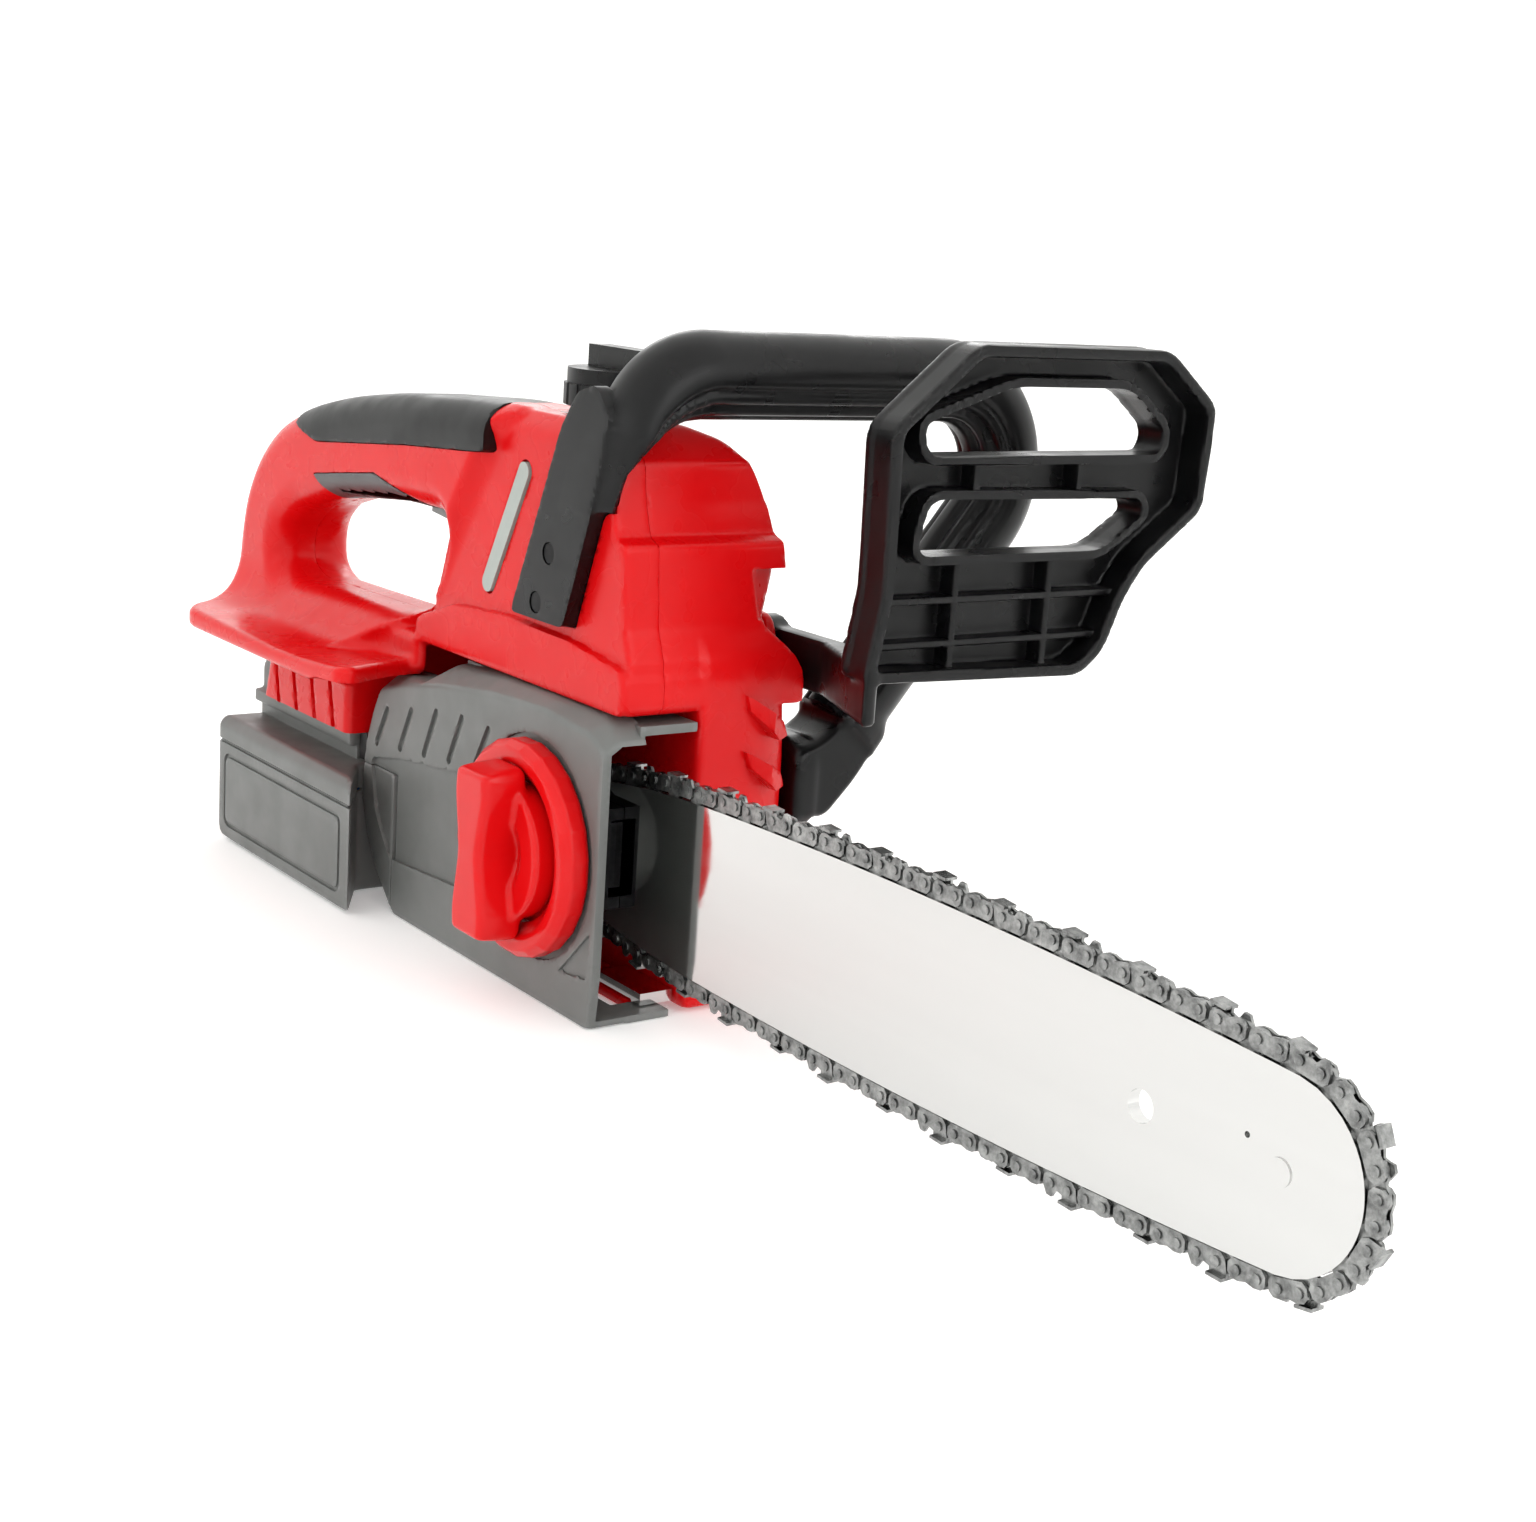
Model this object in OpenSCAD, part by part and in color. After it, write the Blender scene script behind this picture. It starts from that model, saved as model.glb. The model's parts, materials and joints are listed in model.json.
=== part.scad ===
// Cordless chainsaw with a 300 mm guide bar, in separate pieces.
// +X is forward along the guide bar, +Y is the saw's left, +Z is up.  Z = 0 is the ground the saw
// rests on, Y = 0 is the middle plane of the guide bar and X = 0 is the drive-sprocket axis.

/* [Bar and chain] */
// Height of the bar's centre-line above the base
bar_z = 51; // [45:0.5:60]
// Widest half height of the guide bar
bar_half = 29.5; // [26:0.1:34]
// Position of the widest point ahead of the sprocket axis
crown_x = 202.4; // [180:0.1:220]
// Radius of the bar nose
nose_r = 24.5; // [20:0.1:28]
// Distance between two neighbouring chain rivets
chain_pitch = 6.35; // [6.35:0.01:9.5]
// Number of drive links in the loop
drive_links = 68; // [64:4:72]
// Thickness of a drive link, which rides in the bar's groove
gauge = 1.1; // [1.1:0.1:1.6]
// Number of drive links that pass for one turn of the sprocket
sprocket_teeth = 9; // [7:1:11]
// Slack the bar can take up along its slot
bar_travel = 6; // [3:0.5:8]

/* [Body] */
// Wall thickness of the moulded shells
wall = 3; // [2:0.5:4]
// Left face of the body
body_left = 58; // [50:1:70]
// Inner wall of the body that carries the bar
bar_wall = 14; // [12:1:18]
// Right face of the tower above the sprocket cover
tower_right = 13; // [10:1:18]
// Half width of the rear handle
grip_half = 18; // [15:1:22]
// Half width across the two flared hand rests
wing_half = 50; // [40:1:55]

/* [Cover and knobs] */
// Outer face of the sprocket cover, measured from the bar plane
cover_out = 22; // [20:1:28]
// Position of the bar stud ahead of the sprocket axis
stud_x = 54; // [50:1:60]
// Outer radius of the chain tension ring
ring_r = 36; // [30:1:38]
// Radius of the bar stud
stud_r = 4; // [3:0.5:5]

/* [Front handle and guard] */
// Radius of the front handle tube
tube_r = 14; // [12:0.5:15]
// Height of the tube's centre-line over the base
tube_z = 207; // [195:1:215]
// Front face of the hand guard
guard_x = 142; // [130:1:150]

/* [Battery and drive] */
// Half width of the battery pack
pack_half = 38; // [34:1:42]
// Rear end of the battery pack, behind the sprocket axis
pack_rear = 165; // [150:1:175]
// Teeth on the motor pinion
pinion_teeth = 14; // [10:1:18]
// Teeth on the gear of the output shaft
gear_teeth = 56; // [48:1:60]

/* [Hidden] */
$fn = 48;

red = "#d8141a";
coal = "#5c5d5e";
black = "#242424";
steel = "#c9cac8";

// ---------- helpers ----------
// A side-view outline in X and Z, given thickness from y0 to y1.
module slab(y0, y1) translate([0, y1, 0]) rotate([90, 0, 0]) linear_extrude(y1 - y0) children();
// A front-view outline in Y and Z, given thickness from x0 to x1.
module across(x0, x1) translate([x0, 0, 0]) rotate([90, 0, 90]) linear_extrude(x1 - x0) children();
// A top-view outline in X and Y, given thickness from z0 to z1.
module layer(z0, z1) translate([0, 0, z0]) linear_extrude(z1 - z0) children();
// A round bar along Y.
module rod(x, z, r, y0, y1) translate([x, y1, z]) rotate([90, 0, 0]) cylinder(r = r, h = y1 - y0);
module box(x0, x1, y0, y1, z0, z1) translate([x0, y0, z0]) cube([x1 - x0, y1 - y0, z1 - z0]);
// A flat slot with round ends between two points of the side view.
module groove(a, b, r, y0, y1) {
  d = b - a;
  translate([a.x, y1, a.y]) rotate([0, -atan2(d.y, d.x), 0]) rotate([90, 0, 0]) linear_extrude(y1 - y0)
    union() { circle(r); translate([norm(d), 0]) circle(r); translate([0, -r]) square([norm(d), 2 * r]); }
}
// A ring of gear teeth with flat flanks and trimmed tips.
module toothed(n, root, tip, land) polygon([for (i = [0:n - 1], k = [0:3])
    let (half = 180 / n * (k == 0 || k == 3 ? land * 1.7 : land), s = k < 2 ? -1 : 1, r = k == 0 || k == 3 ? root : tip)
    [r * cos(360 / n * i + s * half), r * sin(360 / n * i + s * half)]]);

// ---------- the path of the chain's rivets ----------
// Half of the loop: round the sprocket, a straight run, the bar's tail, its long crown, the nose.
rivet_off = 3.3;
crown_r = 2463;
tail_r = 200;
tail_tilt = 2.2;
turns = PI / 180;
wheel_r = chain_pitch / (2 * sin(90 / sprocket_teeth));
nose_x = crown_x + sqrt(pow(crown_r - nose_r, 2) - pow(crown_r - bar_half, 2));
nose_tilt = asin((nose_x - crown_x) / (crown_r - nose_r));
tail_c = [crown_x - (crown_r + rivet_off - tail_r) * sin(tail_tilt),
          bar_half - crown_r + (crown_r + rivet_off - tail_r) * cos(tail_tilt)];
run_tilt = acos((wheel_r - tail_r) / norm(tail_c)) - atan2(tail_c.x, tail_c.y);
run_from = wheel_r * [-sin(run_tilt), cos(run_tilt)];
run_to = tail_c + tail_r * [-sin(run_tilt), cos(run_tilt)];
len1 = wheel_r * (90 - run_tilt) * turns;
len2 = len1 + norm(run_to - run_from);
len3 = len2 + tail_r * (run_tilt - tail_tilt) * turns;
len4 = len3 + (crown_r + rivet_off) * (tail_tilt + nose_tilt) * turns;
len5 = len4 + (nose_r + rivet_off) * (90 - nose_tilt) * turns;
step = 2 * len5 / (2 * drive_links);
// Point on an arc about c: [x, z, heading].
function on_arc(c, r, a) = [c.x + r * cos(a), c.y + r * sin(a), a - 90];
function half_path(s) =
    s < len1 ? on_arc([0, 0], wheel_r, 180 - s / wheel_r / turns)
  : s < len2 ? [run_from.x + (s - len1) * cos(run_tilt), run_from.y + (s - len1) * sin(run_tilt), run_tilt]
  : s < len3 ? on_arc(tail_c, tail_r, 90 + run_tilt - (s - len2) / tail_r / turns)
  : s < len4 ? on_arc([crown_x, bar_half - crown_r], crown_r + rivet_off,
                      90 + tail_tilt - (s - len3) / (crown_r + rivet_off) / turns)
  : on_arc([nose_x, 0], nose_r + rivet_off, 90 - nose_tilt - (s - len4) / (nose_r + rivet_off) / turns);
function path(s) = let (t = (s + 4 * len5) % (2 * len5), p = half_path(t < len5 ? t : 2 * len5 - t))
    t < len5 ? p : [p.x, -p.y, 180 - p.z];
// Rivet i of the loop; the offset puts the cutters where they ride at rest.
chain_start = 2.2;
function rivet_at(i) = let (p = path(chain_start + i * step)) [p.x, p.y];

// Carries its child to every listed link, the link's rear rivet at the child's origin.
module on_links(list) for (i = list) {
  a = rivet_at(i); b = rivet_at(i + 1);
  translate([a.x, 0, bar_z + a.y]) rotate([0, -atan2(b.y - a.y, b.x - a.x), 0]) children();
}
// Outline of the bar, drawn in by d from the rail.
module bar_outline(d, tail) {
  from = len1 + (tail + wheel_r * sin(run_tilt)) / cos(run_tilt);
  up = [for (k = [0:40]) let (t = k / 40, s = from + (len5 - from) * (1 - pow(1 - t, 2.6)), p = half_path(s))
        [p.x + (rivet_off + d) * sin(p.z), p.y - (rivet_off + d) * cos(p.z)]];
  translate([0, bar_z]) polygon(concat(up, [for (k = [39:-1:0]) [up[k].x, -up[k].y]]));
}

// ---------- body ----------
// Side view of the front body with the tower that carries the handle foot and the oil cap.
body_side = [[-44, 0], [94, 0], [94, 118], [88, 128], [-44, 128]];
tower_side = [[-40, 101.5], [92, 101.5], [92, 118], [88, 130], [84, 150], [76, 180], [64, 190], [-4, 190],
              [-20, 160], [-30, 130]];
tower_core = [[-34, 112], [86, 112], [86, 118], [82, 130], [72, 150], [60.5, 166], [56, 187], [4, 187],
              [-14, 160], [-24, 130]];
// Side view of the rear handle and of the finger opening in it.
handle_side = [[12, 190], [-3, 190], [-68, 186.5], [-110, 181], [-141, 174.5], [-165, 166], [-182, 153],
               [-194, 136], [-200, 114], [-200, 96], [-188, 86], [-30, 86], [-20, 104], [12, 130]];
finger_gap = [[-24, 149], [-62, 149], [-112, 144], [-146, 135], [-160, 124], [-161, 112], [-150, 106],
              [-60, 108], [-38, 114], [-26, 130]];
handle_core = [[8, 187], [-4, 187], [-68, 160], [-120, 154], [-150, 150], [-172, 138], [-180, 116],
               [-176, 104], [-166, 106], [-166, 126], [-150, 140], [-112, 149], [-60, 153], [8, 156]];
// Side view of the soft grip laid over the handle's crest.
grip_side = [[6, 191.5], [-3, 192], [-68, 188], [-110, 182.5], [-141, 176], [-146, 168], [-124, 163],
             [-51, 170], [6, 174]];
// Top view of one flared hand rest.
wing_top = [[-200, 0], [-192, 24], [-178, 44], [-168, wing_half], [-32, wing_half], [-24, 44], [-24, 0]];

// Room in the tower for the front handle's right leg and bend.
module leg_room() {
  translate([tube_x, -4, 166]) cylinder(r = tube_r + 0.1, h = 19.05);
  translate([tube_x, 18, 185]) rotate([90, 0, 90]) rotate([0, 0, 90]) rotate_extrude(angle = 90)
    translate([bend_in, 0]) circle(tube_r + 0.1);
}
// Room for the soft grip and for the switch where the handle runs into the tower.
module grip_room() {
  slab(-grip_half - 0.4, grip_half + 0.4) polygon(grip_side);
  box(-24, 5, -8.8, 8.8, 157, 176);
}
module body_shell(side) {
  // side = 1 for the left shell, -1 for the right shell
  y0 = side > 0 ? 0 : -grip_half;
  y1 = side > 0 ? grip_half : 0;
  w0 = side > 0 ? 0 : -26;
  w1 = side > 0 ? 26 : 0;
  difference() {
    union() {
      slab(y0, y1) difference() { polygon(handle_side); polygon(finger_gap); }
      layer(86, 93) mirror([0, side > 0 ? 0 : 1, 0]) polygon(wing_top);
      slab(w0, w1) polygon([[-148, 50], [-72, 50], [-72, 90], [-140, 90]]);
    }
    slab(side > 0 ? -1 : -grip_half + wall, side > 0 ? grip_half - wall : 1) polygon(handle_core);
    slab(side > 0 ? -1 : -26 + wall, side > 0 ? 26 - wall : 1)
      polygon([[-142, 61], [-76, 61], [-76, 83], [-136, 83]]);
    // room for the rails of the battery pack
    box(-170, -71, -20.5, 20.5, 49, 61.4);
    slab(-grip_half - 1, grip_half + 1) polygon(grip_side);
    slab(-grip_half - 1, grip_half + 1) polygon(pad_side);
    // T-shaped slot for the pack's rails
    box(-170, -71, -23.5, 23.5, 54.5, 61.4);
  }
}

module housing_left() color(red) difference() {
  union() {
    body_shell(1);
    slab(bar_wall, body_left - wall) polygon(body_side);
    slab(0, 48) polygon(tower_side);
    box(-72, -40, 0, 30, 62, 104);
    // sole plate under the sprocket, and the pad the bar is clamped to
    box(-44, 81, -5.5, bar_wall + 1, 0, wall);
    box(30, 80, 2.2, bar_wall + 1, 33, 69);
    // bumper spikes on the front face
    across(93, 106) polygon([[24, 96], [28, 92], [47, 87], [50, 92], [33, 107]]);
    across(93, 106) polygon([[24, 74], [28, 70], [47, 68], [50, 73], [33, 84]]);
  }
  slab(bar_wall + wall, body_left + 1) polygon([[-38, 4], [90, 4], [90, 104], [84, 109], [-38, 109]]);
  slab(-1, 45) polygon(tower_core);
  box(-68, -37, -1, 27, 66, 100);
  // front face tapers round to the left side
  layer(-1, 119) polygon([[95, 36], [95, 59], [74, 59]]);
  // oil filler neck, shaft and stud holes
  translate([37, 16, 180]) cylinder(r = 13, h = 12);
  rod(0, bar_z, 11, bar_wall - 13, bar_wall + wall + 1);
  rod(stud_x, bar_z, stud_r, 0, bar_wall + wall + 1);
  // relief that frees the turning brake drum
  rod(0, bar_z, 25.6, 5, bar_wall - 0.5);
  trigger_room();
  leg_room();
  grip_room();
  rod(lock_at.x, lock_at.y, 5.4, 10, 50);
  rod(lock_at.x, lock_at.y, 7, 6.3, 14.4);
  rod(pivot.x, pivot.y, 4, 40, 60);
}

module housing_right() color(red) difference() {
  union() {
    body_shell(-1);
    slab(-tower_right, 0) polygon(tower_side);
    box(-72, -40, -16, 0, 88, 104);
    // raised ledge above the sprocket cover
    slab(-15, -tower_right + 1) polygon([[-40, 102], [93, 102], [93, 116], [60, 120], [18, 121], [-18, 118],
                                         [-42, 112]]);
  }
  slab(-tower_right + wall, 1) polygon(tower_core);
  box(-69, -37, -13, 1, 91, 101);
  slab(-16, -tower_right + wall + 0.2) groove_window();
  trigger_room();
  leg_room();
  grip_room();
  for (p = [[49.7, 147], [42.9, 130]]) rod(p.x, p.y, 2, -20, 0);
  // step down from the handle's side to the flat face of the tower
  slab(-20, -tower_right) polygon([[12, 193], [5, 193], [4, 184], [-30, 134], [-38, 121.6], [30, 121.6], [30, 193]]);
  // room for the cover to slide off below the hand rest
  slab(-60, -5.2) polygon([[-71.6, 60], [-71.6, 83.4], [-64, 84.9], [-52, 88.4], [-27, 89.9], [-19, 98], [-19, 60]]);
}
// The opening of the oil window, a slanted slot with round ends.
module groove_window() {
  d = [24.4, 170] - [3.2, 130];
  translate([3.2, 130]) rotate(atan2(d.y, d.x)) union() {
    circle(3.3); translate([norm(d), 0]) circle(3.3); translate([0, -3.3]) square([norm(d), 6.6]);
  }
}
// Room inside the handle for the trigger and the lock lever, with their pin holes.
module trigger_room() {
  box(-58, -21, -6.4, 6.4, 140, 163);
  box(-36, -12, -6.4, 6.4, 118, 163);
  rod(-34, 158, 2, -14, 14);
}

module motor_cover() color(red) difference() {
  union() {
    slab(body_left - wall, body_left) polygon([[-44, 0], [74, 0], [74, 118], [70, 128], [-44, 128]]);
    rod(28, 72, 29, body_left - 1, body_left + 9);
  }
  rod(28, 72, 26, body_left - 4, body_left + 6);
  for (k = [-3:3]) box(28 + 6 * k - 1.6, 28 + 6 * k + 1.6, body_left, body_left + 10, 54 + abs(k), 90 - abs(k));
  rod(pivot.x, pivot.y, 6.5, 50, 60);
}

module rear_grip() color(black) difference() {
  slab(-grip_half - 0.4, grip_half + 0.4) polygon(grip_side);
  slab(-grip_half + 4, grip_half - 4) polygon([[10, 186], [-68, 181], [-128, 170], [-124, 162], [-51, 165], [10, 170]]);
}

module oil_window() color("#c8cfc8") slab(-tower_right - 0.6, -tower_right + wall) groove_window();

module oil_tank() color("#d9d8cc") difference() {
  union() {
    slab(-8, 38) polygon([[6, 136], [70, 136], [62, 160], [56, 180], [10, 180], [6, 170]]);
    translate([37, 16, 178]) cylinder(r = 12.9, h = 14);
  }
  slab(-6.4, 36.4) polygon([[8, 138], [68, 138], [60.5, 159], [55, 178], [11, 178], [8, 168]]);
  translate([37, 16, 170]) cylinder(r = 11, h = 30);
}
module oil_cap() color(black) translate([37, 16, 0]) difference() {
  union() {
    translate([0, 0, 192.6]) cylinder(r = 19, h = 12.4);
    translate([0, 0, 193]) cylinder(r = 20, h = 7);
    translate([0, 0, 180]) cylinder(r = 10.2, h = 14);
    translate([-17, -4, 204]) cube([34, 8, 8]);
  }
  translate([0, 0, 179]) cylinder(r = 8, h = 12);
  for (k = [0:17]) rotate(20 * k) translate([20.4, 0, 191]) cylinder(r = 1.2, h = 11);
}
module oil_cap_seal() color("#303030") translate([37, 16, 192.1]) difference() {
  cylinder(r = 15, h = 0.5);
  translate([0, 0, -1]) cylinder(r = 11.4, h = 3);
}

// ---------- front handle and guard ----------
bend_in = 22;
bend_out = 30;
tube_x = 78;
leg_tilt = 40;
leg_len = 88;
module tube_arc(c, r, a0, a1) translate([tube_x, c.x, c.y]) rotate([90, 0, 90]) rotate([0, 0, a0])
  rotate_extrude(angle = a1 - a0) translate([r, 0]) circle(tube_r);
module front_handle() color(black) {
  top0 = [18, tube_z];
  top1 = [116, tube_z];
  leg = [top1.x, tube_z - bend_out] + bend_out * [cos(leg_tilt), -sin(leg_tilt)];
  foot = leg + leg_len * [-sin(leg_tilt), -cos(leg_tilt)];
  difference() {
    union() {
      translate([tube_x, top0.x, tube_z]) rotate([-90, 0, 0]) cylinder(r = tube_r, h = top1.x - top0.x);
      tube_arc([top0.x, tube_z - bend_in], bend_in, 90, 180);
      tube_arc([top1.x, tube_z - bend_out], bend_out, -leg_tilt, 90);
      translate([tube_x, leg.x, leg.y]) rotate([180 - leg_tilt, 0, 0]) cylinder(r = tube_r, h = leg_len);
      // left foot, screwed to the side of the body
      slab(body_left, body_left + 8) polygon([[60, 56], [86, 56], [90, 62], [90, 80], [84, 88], [64, 88], [58, 80]]);
      across(tube_x - 13, tube_x + 12)
        polygon([[body_left, 62], [body_left, 84], [70, 88], [82, 98], [96, 88], [84, 72], [72, 60]]);
      // cores that tie the bends to the straight lengths
      for (p = [[top0.x, tube_z], [top1.x, tube_z], leg, foot])
        translate([tube_x, p.x, p.y]) sphere(r = tube_r - 3);
      // right foot, a flat blade leaning forward against the tower
      slab(-18, -tower_right) polygon([[27, 124], [60.5, 125], [70, 150], [92, 186], [64, 186], [50, 172]]);
      translate([tube_x, top0.x - bend_in, 170]) cylinder(r = tube_r, h = tube_z - bend_in - 170);
    }
    box(20, 120, -tower_right, 30, 100, 168);
    // screw pockets of the right foot
    for (p = [[49.7, 147], [42.9, 130]]) rod(p.x, p.y, 3.4, -20, -15.4);
    for (p = [[49.7, 147], [42.9, 130]]) rod(p.x, p.y, 2, -20, 0);
    // finger grooves under the top of the handle
    for (k = [0:5]) translate([tube_x, 34 + 12 * k, tube_z - tube_r - 5]) rotate([-90, 0, 0]) cylinder(r = 7, h = 7);
  }
}
module handle_screws() color(steel) {
  for (p = [[49.7, 147], [42.9, 130]]) { rod(p.x, p.y, 3.3, -17.6, -15.4); rod(p.x, p.y, 2, -15.4, -8.2); }
}
screw_spots = [[-36, 10], [-36, 112], [20, 114], [66, 10], [42, 121], [20, 8]];
module housing_screws() color(steel) for (p = screw_spots)
  difference() { rod(p.x, p.y, 3.4, body_left, body_left + 2); rod(p.x, p.y, 1.4, body_left + 1, body_left + 3); }

pivot = [62, 116];
guard_rim = [[46, 197], [78, 223], [161, 223], [185, 205], [183, 170], [158, 152], [150, 141], [143, 124],
             [133, 116], [42, 118.5], [47, 147]];
guard_win1 = [[95, 210], [146, 210], [163, 197], [162, 189], [62, 188.5], [59, 198]];
guard_win2 = [[64, 175], [155, 174], [157, 169], [139, 157.5], [60, 157.5]];
module hand_guard() color(black) difference() {
  union() {
    across(guard_x - 14, guard_x - 11) difference() {
      polygon(guard_rim); polygon(guard_win1); polygon(guard_win2); }
    across(guard_x - 12, guard_x) difference() {
      polygon(guard_rim);
      polygon([[50, 196], [80, 219.5], [160, 219.5], [181, 203], [179.5, 172], [155, 154], [147, 143],
               [140, 126], [131, 119.5], [46, 122], [51, 147]]);
    }
    across(guard_x - 12, guard_x - 2) difference() {
      polygon([[92, 213], [147, 213], [166, 199], [165, 186], [60, 185.5], [56, 199]]); polygon(guard_win1); }
    across(guard_x - 12, guard_x - 2) difference() {
      polygon([[62, 178], [157, 177], [160, 168], [140, 154.5], [57, 154.5]]); polygon(guard_win2); }
    for (z = [129, 143]) box(guard_x - 12, guard_x - 4, 45, z + 2, z - 1.2, z + 1.2);
    for (y = [79, 119]) box(guard_x - 12, guard_x - 4, y - 1.2, y + 1.2, 119, 158);
    for (y = [84, 128]) box(guard_x - 12, guard_x - 4, y - 1.2, y + 1.2, 174, 189);
    // arm back to the pivot on the left side of the body
    layer(105, 123) polygon([[guard_x, 42], [guard_x, 46], [100, 66.5], [52, 66.5], [52, body_left + 1.5],
                             [97, body_left + 1.5]]);
    rod(pivot.x, pivot.y, 10, body_left + 1.5, 66.5);
  }
  rod(pivot.x, pivot.y, 4.05, body_left - 1, 70);
  layer(100, 117) polygon([[guard_x - 15, 40], [guard_x + 1, 40], [guard_x + 1, 41]]);
}
module guard_pin() color(steel) union() { rod(pivot.x, pivot.y, 4, 46, 69.5); rod(pivot.x, pivot.y, 6, 67.5, 70.5); }

// ---------- switchgear in the handle ----------
module trigger() color(coal) difference() {
  union() {
    slab(-6, 6) polygon([[-50, 157.5], [-34, 161], [-26, 156], [-24.6, 142], [-30, 128], [-36, 128],
                         [-33, 140], [-38, 145], [-52, 146.4]]);
    rod(-34, 158, 4, -6, 6);
  }
  rod(-34, 158, 2.05, -7, 7);
}
module trigger_pin() color(steel) rod(-34, 158, 2, -13, 13);
// Soft pad let into the underside of the handle, wrapping up both of its sides.
pad_side = [[-126, 151], [-75, 157], [-42, 149], [-50, 146.8], [-62, 148.6], [-106, 143.6], [-114, 142.6]];
module finger_pad() color(coal) difference() {
  slab(-grip_half - 0.3, grip_half + 0.3) polygon(pad_side);
  slab(-grip_half + 2, grip_half - 2) polygon([[-120, 152], [-75, 160], [-36, 152], [-52, 150], [-108, 146.6]]);
  trigger_room();
}
lock_at = [-48, 157.6];
module lock_button() color(coal) union() {
  rod(lock_at.x, lock_at.y, 5, 12, 21.4);
  rod(lock_at.x, lock_at.y, 6.4, 9.8, 13.4);
}
module main_switch() color("#2b2b2b") union() {
  box(-18, 4, -8.6, 8.6, 158, 175);
  box(-21, -18, -3, 3, 160, 164);
}
module control_board() color("#2e6b3c") union() {
  box(-134, -80, -20, 20, 66, 67.6);
  for (k = [0:3]) box(-128 + 12 * k, -120 + 12 * k, -14, 14, 67.6, 78);
}
module terminal_block() color("#2b2b2b") {
  difference() {
    box(-76, -70, -20, 20, 51, 61.4);
    for (y = [-14, 0, 14]) box(-77, -71, y - 1.4, y + 1.4, 52, 59);
  }
}

// ---------- battery ----------
pack_top = 50;
// Top view of the pack; its front end is hollowed so that two cheeks reach past the body.
pack_plan = [[-pack_rear, -pack_half], [-46, -pack_half], [-70.4, -23.2], [-70.4, 23.2], [-46, pack_half],
             [-pack_rear, pack_half]];
module pack_body(z0, z1) layer(z0, z1) polygon(pack_plan);
module battery_case() color(coal) difference() {
  pack_body(1, 40);
  layer(3, 41) polygon([[-pack_rear + 1.8, -36], [-66, -36], [-71.6, -22], [-71.6, 22], [-66, 36],
                        [-pack_rear + 1.8, 36]]);
  // rounded lower rear edge
  slab(-40, 40) polygon([[-166, 0], [-161, 0], [-163.6, 1.6], [-166, 5]]);
}
module battery_lid() color(coal) difference() {
  union() {
    pack_body(40, pack_top - 2);
    layer(pack_top - 2, pack_top) polygon([[-164, -36.5], [-50, -36.5], [-70.4, -23.2], [-70.4, 23.2],
                                           [-50, 36.5], [-164, 36.5]]);
    box(-164, -78, -20, 20, pack_top - 1, 60);
    box(-164, -78, -23, 23, 55, 60);
    slab(-20, 20) polygon([[-164, 59], [-149, 59], [-149, 74], [-158, 76], [-164, 70]]);
  }
  layer(39, pack_top - 4) polygon([[-pack_rear + 1.8, -36], [-66, -36], [-71.6, -22], [-71.6, 22], [-66, 36],
                                   [-pack_rear + 1.8, 36]]);
  box(-160, -81, -17, 17, 44, 57.5);
  for (y = [-14, 0, 14]) box(-82, -77, y - 0.9, y + 0.9, 53, 58);
  // pocket of the latch button
  box(-161, -151, -10.6, 10.6, 55, 80);
}
module battery_cells() color("#3f7fb4") for (k = [0:4], z = [13.2, 32])
  rod(-153.9 + 18.25 * k, z, 9.1, -32.5, 32.5);
module battery_contacts() color("#c99a3b") for (y = [-14, 0, 14]) box(-80, -73, y - 0.9, y + 0.9, 53, 58);
module battery_latch() color(black) union() {
  box(-160.6, -151.4, -10.2, 10.2, 66, 78.6);
  box(-160.6, -157, -6, 6, 60, 67);
}

// ---------- sprocket cover ----------
// Where the cover meets the fixed panel behind it.
panel_x = -44.2;
panel_z = 51.4;
cover_side = [[-43, 0], [93.5, 0], [95, 18], [95, 91], [88, 95.5], [57, 97.8], [23, 96], [-13, 91.5],
              [-38.6, 86.5], [-57, 81.2], [-62, 72.3], [-67, 60], [-69.4, 46], [-69.4, 38], [-65, 25],
              [-57, 13]];
cover_in = [[-43, 2.5], [96, 2.5], [96, 90], [87, 93.2], [57, 95.3], [23, 93.5], [-13, 89], [-38, 84],
            [-55, 79], [-60, 71], [-64, 60], [-66.6, 46], [-66.6, 38.5], [-62, 26], [-54, 14.5]];
cover_top = [[-57, 81.2], [-38.6, 86.5], [-13, 91.5], [23, 96], [57, 97.8], [88, 95.5], [95, 91], [95, 96],
             [86, 101], [54, 101.3], [21, 100.8], [-18.6, 97.4], [-26.6, 89.4], [-52, 87.8], [-62, 84.6]];
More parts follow.
